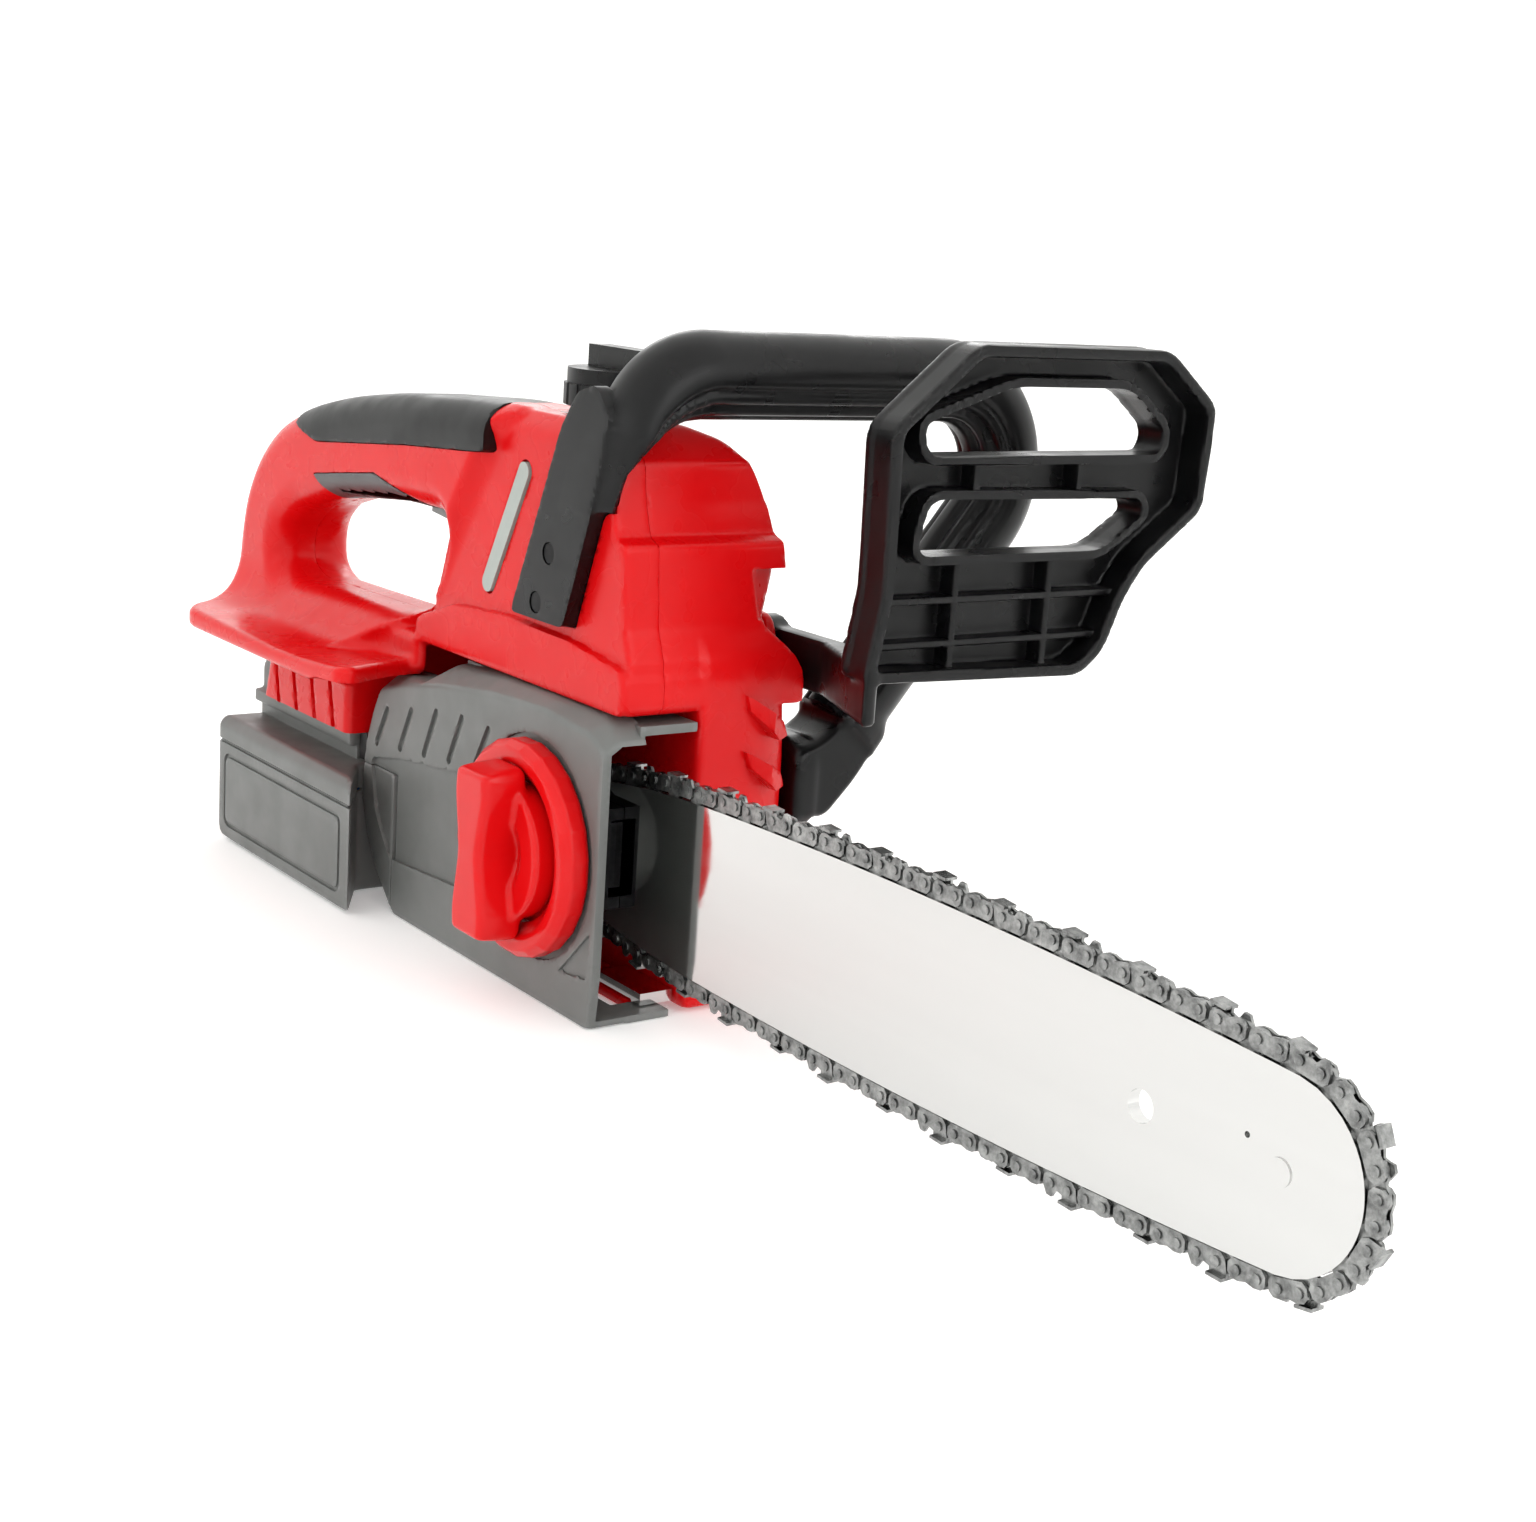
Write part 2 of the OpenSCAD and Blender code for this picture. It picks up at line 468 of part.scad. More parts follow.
module sprocket_cover() color(coal) difference() {
  union() {
    slab(-cover_out, -5.8) polygon(cover_side);
    slab(-17, -5.8) polygon(cover_top);
    box(82, 93.5, -6, 9.4, 0, 2.5);
    box(-18, 94, -6, bar_wall - 0.4, 95.6, 98.6);
  }
  difference() {
    slab(-cover_out + 2.5, 0) polygon(cover_in);
    rod(stud_x, bar_z, 19, -cover_out - 1, -8);
  }
  // cut back to the face of the rear body, and clear of the sole plate and the fixed rear panel
  box(-80, -44, -16, 0, -1, 84);
  box(-80, panel_x, -cover_out - 1, 0, -1, panel_z + 0.3);
  box(-44, 81.4, -5.9, 0, -1, 10);
  // dish and bore of the lock knob
  rod(stud_x, bar_z, ring_r + 1.5, -cover_out - 1, -cover_out + 1.4);
  rod(stud_x, bar_z, 16, -cover_out - 1, 0);
  // slanted cooling slots and the sunk panel below them
  for (k = [0:4]) groove([-51 + 18.4 * k, 74.5 + (k < 3 ? 3.4 * k : 8.6)], [-58.5 + 18.2 * k, 61 + 1.9 * k],
                         1.6, -cover_out - 1, -cover_out + 1.3);
  slab(-cover_out - 1, -cover_out + 0.9) difference() {
    polygon([[-63, 54.5], [-40, 59], [12, 65], [20, 24], [-46, 20], [-58, 34]]);
    translate([stud_x, bar_z]) circle(ring_r + 4);
  }
  slab(-cover_out - 1, -cover_out + 1) polygon([[74, 14], [91, 16], [92, 32]]);
}
// Fixed panel behind the cover, with the wall that shuts the chain case off from the battery.
module rear_panel() color(coal) difference() {
  union() {
    slab(-cover_out, -16) intersection() {
      polygon(cover_side);
      translate([-80, 0]) square([panel_x + 79.7, panel_z]);
    }
    box(panel_x - 2.6, panel_x - 0.3, -cover_out, bar_wall + 4, 3, panel_z);
  }
  slab(-cover_out + 2.5, -15) intersection() {
    polygon(cover_in);
    translate([-80, 8]) square([panel_x + 77.4, panel_z - 10.5]);
  }
}
module guide_plate() color(steel) difference() {
  union() {
    slab(-8, -6.6) polygon([[32, 34], [78, 34], [78, 68], [32, 68]]);
    slab(-6.7, -2.2) polygon([[32, 34], [78, 34], [78, 38], [32, 38]]);
    slab(-6.7, -2.2) polygon([[32, 64], [78, 64], [78, 68], [32, 68]]);
  }
  rod(stud_x, bar_z, 9, -9, 0);
}
module tension_ring() color(red) difference() {
  union() {
    difference() {
      rod(stud_x, bar_z, ring_r, -31, -21);
      rod(stud_x, bar_z, 24, -32, -24.2);
    }
    rod(stud_x, bar_z, 15.4, -24, -14);
  }
  rod(stud_x, bar_z, 11.4, -40, -10);
  for (k = [0:23]) rotate_knob(15 * k) rod(ring_r + 0.6, 0, 1.7, -32, -25);
}
module rotate_knob(a) translate([stud_x, 0, bar_z]) rotate([0, a, 0]) children();
module lock_knob() color(red) difference() {
  union() {
    rod(stud_x, bar_z, 23, -34, -25);
    rod(stud_x, bar_z, 10.6, -26, -10);
    slab(-46, -33) polygon([[46, 25], [62, 25], [60, 51], [62, 77], [46, 77], [48, 51]]);
  }
  rod(stud_x, bar_z, 4.6, -25, -9);
  translate([stud_x, -16.4, bar_z]) rotate([90, 0, 0]) cylinder(r = 7.6, h = 6, $fn = 6);
}
module knob_nut() color(steel) translate([stud_x, -16.6, bar_z]) rotate([90, 0, 0]) difference() {
  cylinder(r = 7.5, h = 5.6, $fn = 6);
  translate([0, 0, -1]) cylinder(r = stud_r + 0.05, h = 8);
}
module bar_stud() color(steel) union() {
  rod(stud_x, bar_z, stud_r, -23.6, bar_wall + wall + 2);
  translate([stud_x, bar_wall + wall + 5, bar_z]) rotate([90, 0, 0]) cylinder(r = 7.5, h = 4.9, $fn = 6);
}

// ---------- guide bar ----------
bar_tail = 24;
hang_x = 314;
module bar_holes(core) {
  translate([hang_x, bar_z]) circle(4.35);
  // slot for the stud, open enough for the tensioning travel
  translate([stud_x - stud_r - 0.4, bar_z - stud_r - 0.1])
    square([2 * stud_r + bar_travel + 0.8, 2 * stud_r + 0.2]);
  translate([nose_x, bar_z]) circle(3.6);
  if (!core) translate([348, bar_z + 5.4]) circle(0.8);
}
module bar_plate_right() color(steel) slab(-2, -0.6) difference() { bar_outline(0, bar_tail); bar_holes(false); }
module bar_plate_left() color(steel) slab(0.6, 2) difference() { bar_outline(0, bar_tail); bar_holes(false); }
module bar_core() color(steel) slab(-0.6, 0.6) difference() {
  bar_outline(6.6, bar_tail + 1);
  bar_holes(true);
  translate([nose_x, bar_z]) circle(nose_r - 0.2);
}
module bar_rivets() color("#9b9c9c") {
  rod(nose_x, bar_z, 3.6, -2.4, 2.4);
}
module adjuster_plate() color(steel) difference() {
  union() {
    slab(-4.4, -2) polygon([[40, 40], [74, 40], [74, 62], [40, 62]]);
    rod(68, bar_z, 2.2, -6, -3);
  }
  slab(-5, -1) polygon([[stud_x - stud_r - 0.5, bar_z - 4.2], [64.6, bar_z - 4.2], [64.6, bar_z + 4.2],
                        [stud_x - stud_r - 0.5, bar_z + 4.2]]);
}
module nose_sprocket() color("#b4b4b2") slab(-0.5, 0.5) translate([nose_x, bar_z]) difference() {
  toothed(10, 16.5, 21.4, 0.22);
  circle(4.2);
}

// ---------- chain ----------
// Side views with the rear rivet at the origin and outward up.
module link_holes(r) { circle(r); translate([step, 0]) circle(r); }
module drive_view() difference() {
  polygon([[-2.3, -1.4], [-2.3, 1.4], [-1, 2.3], [1.6, 2.3], [3.2, 1.5], [4.8, 2.3], [7.4, 2.3], [8.7, 1.4],
           [8.7, -1.4], [7, -2.6], [5.6, -4.6], [3, -5.7], [1.8, -5.2], [0.8, -3.4], [-0.6, -2.4]]);
  link_holes(0.95);
}
module strap_view() difference() {
  polygon([[-1.2, -2.8], [-2.6, -1.4], [-2.6, 1], [-1.4, 2.3], [0.8, 2.5], [3.2, 1.9], [5.6, 2.5],
           [7.8, 2.3], [9, 1], [9, -1.4], [7.6, -2.8]]);
  link_holes(0.95);
}
module cutter_view() difference() {
  polygon([[-1.2, -2.8], [-2.8, -1.4], [-3.6, 2.2], [-3.2, 4], [1.9, 3.6], [2, 1.9], [4, 1.3], [4.9, 2.2],
           [5.8, 3.6], [7.6, 3.4], [9, 1], [9, -1.4], [7.6, -2.8]]);
  link_holes(0.95);
}
all_links = 2 * drive_links;
strap_in = 0.65;
strap_out = 1.55;
module drive_link_set() color("#8f9090") on_links([0:2:all_links - 1]) slab(-gauge / 2, gauge / 2) drive_view();
module tie_straps() color("#a9aaa9") {
  on_links([3:4:all_links - 1]) { slab(-strap_out, -strap_in) strap_view(); slab(strap_in, strap_out) strap_view(); }
  on_links([1:8:all_links - 1]) slab(-strap_out, -strap_in) strap_view();
  on_links([5:8:all_links - 1]) slab(strap_in, strap_out) strap_view();
}
module cutters_left() color("#a9aaa9") on_links([1:8:all_links - 1]) union() {
  slab(strap_in, strap_out) cutter_view();
  slab(-1.4, strap_out + 1.4) polygon([[-3.35, 3.1], [-3.2, 4], [1.9, 3.6], [1.8, 2.8]]);
}
module cutters_right() color("#b9bab9") on_links([5:8:all_links - 1]) union() {
  slab(-strap_out, -strap_in) cutter_view();
  slab(-strap_out - 1.4, 1.4) polygon([[-3.35, 3.1], [-3.2, 4], [1.9, 3.6], [1.8, 2.8]]);
}
module chain_rivets() color("#8a8a8a") on_links([0:all_links - 1]) union() {
  rod(0, 0, 0.85, -2, 2);
  rod(0, 0, 1.35, -2, -strap_out - 0.05);
  rod(0, 0, 1.35, strap_out + 0.05, 2);
}

// ---------- drive ----------
gear_gap = (pinion_teeth + gear_teeth) / 2;
motor_x = 28;
motor_z = bar_z + sqrt(gear_gap * gear_gap - motor_x * motor_x);
module drive_sprocket() color("#9a9b9b") difference() {
  union() {
    rod(0, bar_z, 14.6, -4.6, -2.4);
    rod(0, bar_z, 14.6, 2.4, 4.6);
    rod(0, bar_z, 8.6, -4.6, 6);
    slab(-4, 4) translate([0, bar_z]) toothed(sprocket_teeth, 8, 11.6, 0.3);
  }
  rod(0, bar_z, 5, -6, 8);
}
module output_shaft() color(steel) difference() {
  rod(0, bar_z, 5, -7, 31.4);
  difference() { rod(0, bar_z, 6, -6.2, -5.2); rod(0, bar_z, 4.2, -7, -5); }
}
module shaft_clip() color("#6f7070") difference() {
  rod(0, bar_z, 7, -6.1, -5.3);
  rod(0, bar_z, 4.2, -7, -4);
  box(-2.4, 2.4, -7, -4, bar_z - 9, bar_z);
}
module brake_drum() color("#8c8d8d") difference() {
  rod(0, bar_z, 21, 6, 12.6);
  rod(0, bar_z, 19.2, 7.6, 13);
  rod(0, bar_z, 5, 5, 8);
}
module brake_band() color(steel) difference() {
  rod(0, bar_z, 22.6, 6.4, 12.2);
  rod(0, bar_z, 21.8, 6, 13);
  box(-30, 0, 5, 14, bar_z - 8, bar_z + 8);
}
module drive_gear() color(steel) rotate_at(0, bar_z) slab(19.4, 25.4) difference() {
  toothed(gear_teeth, gear_teeth / 2 - 1.2, gear_teeth / 2 + 0.6, 0.28);
  circle(5);
}
module rotate_at(x, z) translate([x, 0, z]) children();
module motor_pinion() color(steel) rotate_at(motor_x, motor_z) slab(19, 26) difference() {
  rotate(mesh_turn) toothed(pinion_teeth, pinion_teeth / 2 - 1.2, pinion_teeth / 2 + 0.6, 0.28);
  circle(2.5);
}
// Turn of the pinion that sets one of its gaps opposite a tooth of the gear.
mesh_dir = atan2(motor_z - bar_z, motor_x);
mesh_turn = mesh_dir + 180 + (mesh_dir - 360 / gear_teeth * round(mesh_dir / 360 * gear_teeth)) * gear_teeth
            / pinion_teeth + 180 / pinion_teeth;
module motor_stator() color("#7b5a3a") difference() {
  rod(motor_x, motor_z, 25, 32.6, 52);
  rod(motor_x, motor_z, 15.4, 32, 53);
  for (k = [0:11]) translate([motor_x, 0, motor_z]) rotate([0, 30 * k, 0]) box(17, 22, 31, 53, -1.6, 1.6);
}
module motor_rotor() color("#8a8b8c") union() {
  rod(motor_x, motor_z, 14.6, 33.4, 51);
  rod(motor_x, motor_z, 2.5, 18.4, 54.4);
}
module gearbox_plate() color("#b7b9ba") difference() {
  union() {
    slab(27, 31.6) polygon([[-31, 24], [-24, 18], [20, 28], [46, 44], [58, 74], [44, 100], [12, 100], [-20, 70]]);
    for (p = [[-26, 23], [56, 76], [6, 98]]) rod(p.x, p.y, 5, bar_wall + wall, 31.6);
  }
  rod(0, bar_z, 11, 20, 32);
  rod(motor_x, motor_z, 3.2, 20, 32);
}
module shaft_bearings() color("#8d8e90") {
  for (y = [[11, bar_wall + wall], [27, 31.4]]) difference() {
    rod(0, bar_z, 11, y.x + 1.8, y.y);
    rod(0, bar_z, 5, y.x, y.y + 1);
  }
}
module chain_catcher() color("#c8c9ca") box(60, 88, 1.5, bar_wall, 3, 7);

housing_left();
housing_right();
motor_cover();
rear_grip();
oil_window();
oil_tank();
oil_cap();
oil_cap_seal();
front_handle();
handle_screws();
housing_screws();
hand_guard();
guard_pin();
brake_drum();
brake_band();
trigger();
trigger_pin();
finger_pad();
lock_button();
main_switch();
control_board();
terminal_block();
battery_case();
battery_lid();
battery_cells();
battery_contacts();
battery_latch();
sprocket_cover();
rear_panel();
guide_plate();
tension_ring();
lock_knob();
knob_nut();
bar_stud();
bar_plate_right();
bar_plate_left();
bar_core();
bar_rivets();
adjuster_plate();
nose_sprocket();
drive_link_set();
tie_straps();
cutters_right();
cutters_left();
chain_rivets();
drive_sprocket();
output_shaft();
drive_gear();
shaft_clip();
motor_stator();
motor_rotor();
motor_pinion();
gearbox_plate();
shaft_bearings();
chain_catcher();
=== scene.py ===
import json
from itertools import product

import bpy
import numpy as np
from mathutils import Matrix


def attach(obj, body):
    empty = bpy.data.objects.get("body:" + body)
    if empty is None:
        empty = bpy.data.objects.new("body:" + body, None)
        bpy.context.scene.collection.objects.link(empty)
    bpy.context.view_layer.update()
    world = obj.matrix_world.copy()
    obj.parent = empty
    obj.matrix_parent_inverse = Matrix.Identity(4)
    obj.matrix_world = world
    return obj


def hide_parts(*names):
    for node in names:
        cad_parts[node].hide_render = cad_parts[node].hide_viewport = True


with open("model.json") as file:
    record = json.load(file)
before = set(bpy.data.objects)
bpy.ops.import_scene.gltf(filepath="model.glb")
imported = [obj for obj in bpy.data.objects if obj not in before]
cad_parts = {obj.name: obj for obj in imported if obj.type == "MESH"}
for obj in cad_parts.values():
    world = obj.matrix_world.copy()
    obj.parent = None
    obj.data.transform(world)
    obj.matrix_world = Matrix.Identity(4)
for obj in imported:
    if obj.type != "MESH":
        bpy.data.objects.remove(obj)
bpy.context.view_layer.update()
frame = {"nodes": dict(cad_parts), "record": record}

# ---------------------------------------------------------------------------------------------
# Studio: a pale seamless bowl of painted board stands round the saw, and soft boxes light it
# from above and from both sides. The camera looks from the front right, slightly downwards.
camera = bpy.data.objects.new("camera", bpy.data.cameras.new("camera"))
bpy.context.scene.collection.objects.link(camera)
camera.matrix_world = Matrix(((0.58692, -0.22347, 0.77819, 0.67419), (0.80685, 0.08162, -0.58509, -0.39364),
                              (0.06724, 0.97129, 0.22821, 0.25362), (0, 0, 0, 1)))
camera.data.lens, camera.data.sensor_width, camera.data.sensor_fit = 53.302, 36, "HORIZONTAL"
camera.data.clip_start = 0.01
bpy.context.scene.camera = camera


def linear(code):
    """An sRGB hex colour such as '#D8141A' as linear red, green, blue and alpha."""
    part = np.array([int(code[k:k + 2], 16) / 255 for k in (1, 3, 5)])
    part = np.where(part <= 0.04045, part / 12.92, ((part + 0.055) / 1.055) ** 2.4)
    return (*part.tolist(), 1.0)


def node(tree, kind, settings=(), **links):
    """Adds one node. Settings is a dict of its properties; each link names an input, or i and the
    input's number, and gives a value or the output that feeds it."""
    made = tree.nodes.new(kind)
    for name, value in dict(settings).items():
        setattr(made, name, value)
    for name, value in links.items():
        tail = name[1:]
        socket = made.inputs[int(tail) if tail.isdigit() else name.replace("_", " ")]
        if isinstance(value, bpy.types.NodeSocket):
            tree.links.new(value, socket)
        else:
            socket.default_value = value
    return made


def put(name, points, faces, smooth=35):
    """Makes a mesh object from points in millimetres and rows of corner numbers, with its place
    in its mesh; faces that meet under `smooth` degrees shade as one surface."""
    mesh = bpy.data.meshes.new(name)
    mesh.from_pydata(np.asarray(points, float) / 1000, [], [list(map(int, f)) for f in faces])
    mesh.update()
    made = bpy.data.objects.new(name, mesh)
    bpy.context.scene.collection.objects.link(made)
    mesh.polygons.foreach_set("use_smooth", np.ones(len(mesh.polygons), bool))
    mesh.set_sharp_from_angle(angle=np.radians(smooth))
    return made


def turned(name, profile, steps, place):
    """A profile of (radius, height) in mm turned about an axis: point (s, t) of the grid is
    place(radius(s) cos t, radius(s) sin t, height(s))."""
    radius, height = np.array(profile, float).T
    angle = np.arange(steps) * 2 * np.pi / steps
    points = place(radius[:, None] * np.cos(angle), radius[:, None] * np.sin(angle), height[:, None] + 0 * angle)
    points = np.stack(np.broadcast_arrays(*points), -1).reshape(-1, 3)
    grid = np.arange(len(radius) * steps).reshape(len(radius), steps)
    here, on = grid, np.roll(grid, -1, 1)
    faces = np.stack([here[:-1], on[:-1], on[1:], here[1:]], -1).reshape(-1, 4).tolist()
    return put(name, points, faces + [grid[0][::-1].tolist(), grid[-1].tolist()])


flat_radius, bend_radius = 2600, 900
bowl_line = [(flat_radius + bend_radius * np.sin(a), bend_radius * (1 - np.cos(a)))
             for a in np.linspace(0, 1.5, 12)]
floor = turned("studio_bowl", bowl_line[::-1] + [(20, 0)], 96, lambda a, b, c: (a + 60, b, c - 0.3))
board = bpy.data.materials.new("painted_board")
board.use_nodes = True
shade = board.node_tree.nodes["Principled BSDF"]
shade.inputs["Base Color"].default_value = linear("#F7F7F6")
shade.inputs["Roughness"].default_value = 0.9
shade.inputs["Emission Color"].default_value = linear("#FFFFFF")
shade.inputs["Emission Strength"].default_value = 0.24
floor.data.materials.append(board)

for name, place, aim, size, power in (("top_box", (0.15, -0.1, 1.35), (0, 0, 0.1), (1.3, 0.9), 12),
                                      ("front_box", (1.35, 0.35, 0.75), (0.1, 0, 0.1), (0.9, 0.9), 5),
                                      ("right_box", (0.1, -1.5, 0.8), (0, 0, 0.1), (1.4, 0.8), 3.5),
                                      ("back_box", (-1.2, 0.8, 0.9), (0, 0, 0.15), (0.9, 0.7), 6)):
    lamp = bpy.data.objects.new(name, bpy.data.lights.new(name, "AREA"))
    bpy.context.scene.collection.objects.link(lamp)
    lamp.data.shape, lamp.data.size, lamp.data.size_y, lamp.data.energy = "RECTANGLE", *size, power
    back = np.array(place) - np.array(aim)
    back /= np.linalg.norm(back)
    across = np.cross((0, 0, 1), back) if abs(back[2]) < 0.99 else np.array((1.0, 0, 0))
    across /= np.linalg.norm(across)
    axes = np.stack([across, np.cross(back, across), back], 1).tolist()
    lamp.matrix_world = Matrix([[*row, spot] for row, spot in zip(axes, place)] + [(0, 0, 0, 1)])

sky = bpy.data.worlds.new("studio")
bpy.context.scene.world = sky
sky.use_nodes = True
sky.node_tree.nodes["Background"].inputs[0].default_value = (1, 1, 1, 1)
sky.node_tree.nodes["Background"].inputs[1].default_value = 0.42
bpy.context.scene.view_settings.view_transform = "Standard"

# ---------------------------------------------------------------------------------------------
# Body shells: two halves injection moulded in glossy red ABS, screwed together along the middle
# plane. They hold the motor, the oil tank and the switch, and flare out into two hand rests.


def finish(name, colours, rough, grain=0.5, height=0.02, metallic=0.0, coat=0.0, patch=45, painted_edge_highlight=None,
           stretch=(1, 1, 1), specular=0.5):
    """A finish worked out in the object's own millimetres: colour wanders between two hex codes in
    patches, roughness wanders from low to high, grain mm wide lifts the surface by height mm, and
    painted_edge_highlight, where it is given, is a painted highlight: a colour mixed onto the sharper
    outer edges to stand in for light catching them."""
    made = bpy.data.materials.new(name)
    made.use_nodes = True
    tree = made.node_tree
    shade = tree.nodes["Principled BSDF"]
    shade.inputs["Metallic"].default_value = metallic
    shade.inputs["Coat Weight"].default_value = coat
    shade.inputs["Coat Roughness"].default_value = 0.12
    shade.inputs["Specular IOR Level"].default_value = specular
    where = node(tree, "ShaderNodeTexCoord").outputs["Object"]
    laid = node(tree, "ShaderNodeMapping", Vector=where, Scale=tuple(1000 * s for s in stretch)).outputs[0]
    broad = node(tree, "ShaderNodeTexNoise", Vector=laid, Scale=1 / patch, Detail=4.0, Roughness=0.6).outputs[0]
    tint = node(tree, "ShaderNodeValToRGB", Fac=broad)
    for stop, place, code in zip(tint.color_ramp.elements, (0.3, 0.7), colours):
        stop.position, stop.color = place, linear(code)
    colour = tint.outputs[0]
    # Painted highlight: pointiness finds the sharper outer edges, which are lightened towards this colour as if light
    # caught them.
    if painted_edge_highlight:
        edge = node(tree, "ShaderNodeNewGeometry").outputs["Pointiness"]
        edge = node(tree, "ShaderNodeMapRange", i0=edge, i1=0.53, i2=0.62, i3=0.0, i4=0.55).outputs[0]
        mixed = node(tree, "ShaderNodeMix", {"data_type": "RGBA"}, i0=edge, i6=colour, i7=linear(painted_edge_highlight))
        colour = mixed.outputs[2]
    tree.links.new(colour, shade.inputs["Base Color"])
    fine = node(tree, "ShaderNodeTexNoise", Vector=laid, Scale=1 / grain, Detail=3.0, Roughness=0.55).outputs[0]
    rub = node(tree, "ShaderNodeTexNoise", Vector=laid, Scale=1 / 14, Detail=2.0, Roughness=0.5).outputs[0]
    level = node(tree, "ShaderNodeMapRange", i0=rub, i1=0.35, i2=0.65, i3=rough[0], i4=rough[1]).outputs[0]
    tree.links.new(level, shade.inputs["Roughness"])
    lift = node(tree, "ShaderNodeBump", Strength=1.0, Distance=height / 1000, Height=fine).outputs[0]
    tree.links.new(lift, shade.inputs["Normal"])
    return made


# ABS from a polished mould: saturated red, clear highlights and a very fine grain 0.5 mm wide.
red_abs = finish("red_abs_gloss_moulded", ("#D2060B", "#DC090E"), (0.24, 0.32), 0.5, 0.001, coat=0.04,
                 specular=0.2)


def eased(points, ease):
    """A closed line with each corner replaced by a quarter curve that starts `ease` mm away."""
    p = np.array(points, float)
    a, b = np.roll(p, 1, 0) - p, np.roll(p, -1, 0) - p
    long_a, long_b = np.linalg.norm(a, axis=1, keepdims=True), np.linalg.norm(b, axis=1, keepdims=True)
    reach = np.minimum(ease, 0.46 * np.minimum(long_a, long_b))
    t = np.linspace(0, 1, 5)[None, :, None]
    start, end = (p + a / long_a * reach)[:, None], (p + b / long_b * reach)[:, None]
    return ((1 - t) ** 2 * start + 2 * t * (1 - t) * p[:, None] + t ** 2 * end).reshape(-1, 2)


def outline(points, u, v, ease=0.0):
    """Distance in mm from (u, v) to a closed line through the points, less than 0 inside it."""
    p = eased(points, ease) if ease else np.array(points, float)
    far = np.full(np.broadcast(u, v).shape, 1e12)
    inside = np.zeros(far.shape, bool)
    for (a, b), (c, d) in zip(p, np.roll(p, -1, 0)):
        du, dv = u - a, v - b
        t = np.clip((du * (c - a) + dv * (d - b)) / ((c - a) ** 2 + (d - b) ** 2 + 1e-12), 0, 1)
        far = np.minimum(far, (du - t * (c - a)) ** 2 + (dv - t * (d - b)) ** 2)
        inside ^= ((b > v) != (d > v)) & (du < dv * (c - a) / (d - b + 1e-12))
    return np.where(inside, -1, 1) * np.sqrt(far)


def prism(flat, c, low, high, edge=0.0):
    """A flat distance carried along c from low to high, with its edges rounded by `edge` mm."""
    a, b = flat + edge, np.abs(c - (low + high) / 2) - (high - low) / 2 + edge
    return np.minimum(np.maximum(a, b), 0) + np.hypot(np.maximum(a, 0), np.maximum(b, 0)) - edge


def block(x, y, z, x0, x1, y0, y1, z0, z1, edge=0.0):
    """Distance to a box with edges rounded by `edge` mm."""
    flat = prism(np.abs(x - (x0 + x1) / 2) - (x1 - x0) / 2, y, y0, y1, edge)
    return prism(flat, z, z0, z1, edge)


def join(a, b, soft=0.01):
    """The smaller of two distances, eased over `soft` mm where they are alike: a fillet."""
    h = np.clip(0.5 + 0.5 * (b - a) / soft, 0, 1)
    return b + (a - b) * h - soft * h * (1 - h)


def cut(a, b, soft=0.01):
    """What is left of a where b is taken away, with the new edge eased over `soft` mm."""
    return -join(-a, b, soft)


def meet(a, b, soft=0.01):
    """What a and b have in common, with the edge between them eased over `soft` mm."""
    return -join(-a, -b, soft)


def stick(x, y, z, a, b, radius):
    """Distance to a round bar of that radius from point a to point b."""
    a, b = np.array(a, float), np.array(b, float)
    d = b - a
    t = np.clip(((x - a[0]) * d[0] + (y - a[1]) * d[1] + (z - a[2]) * d[2]) / (d @ d), 0, 1)
    return np.sqrt((x - a[0] - t * d[0]) ** 2 + (y - a[1] - t * d[1]) ** 2 + (z - a[2] - t * d[2]) ** 2) - radius


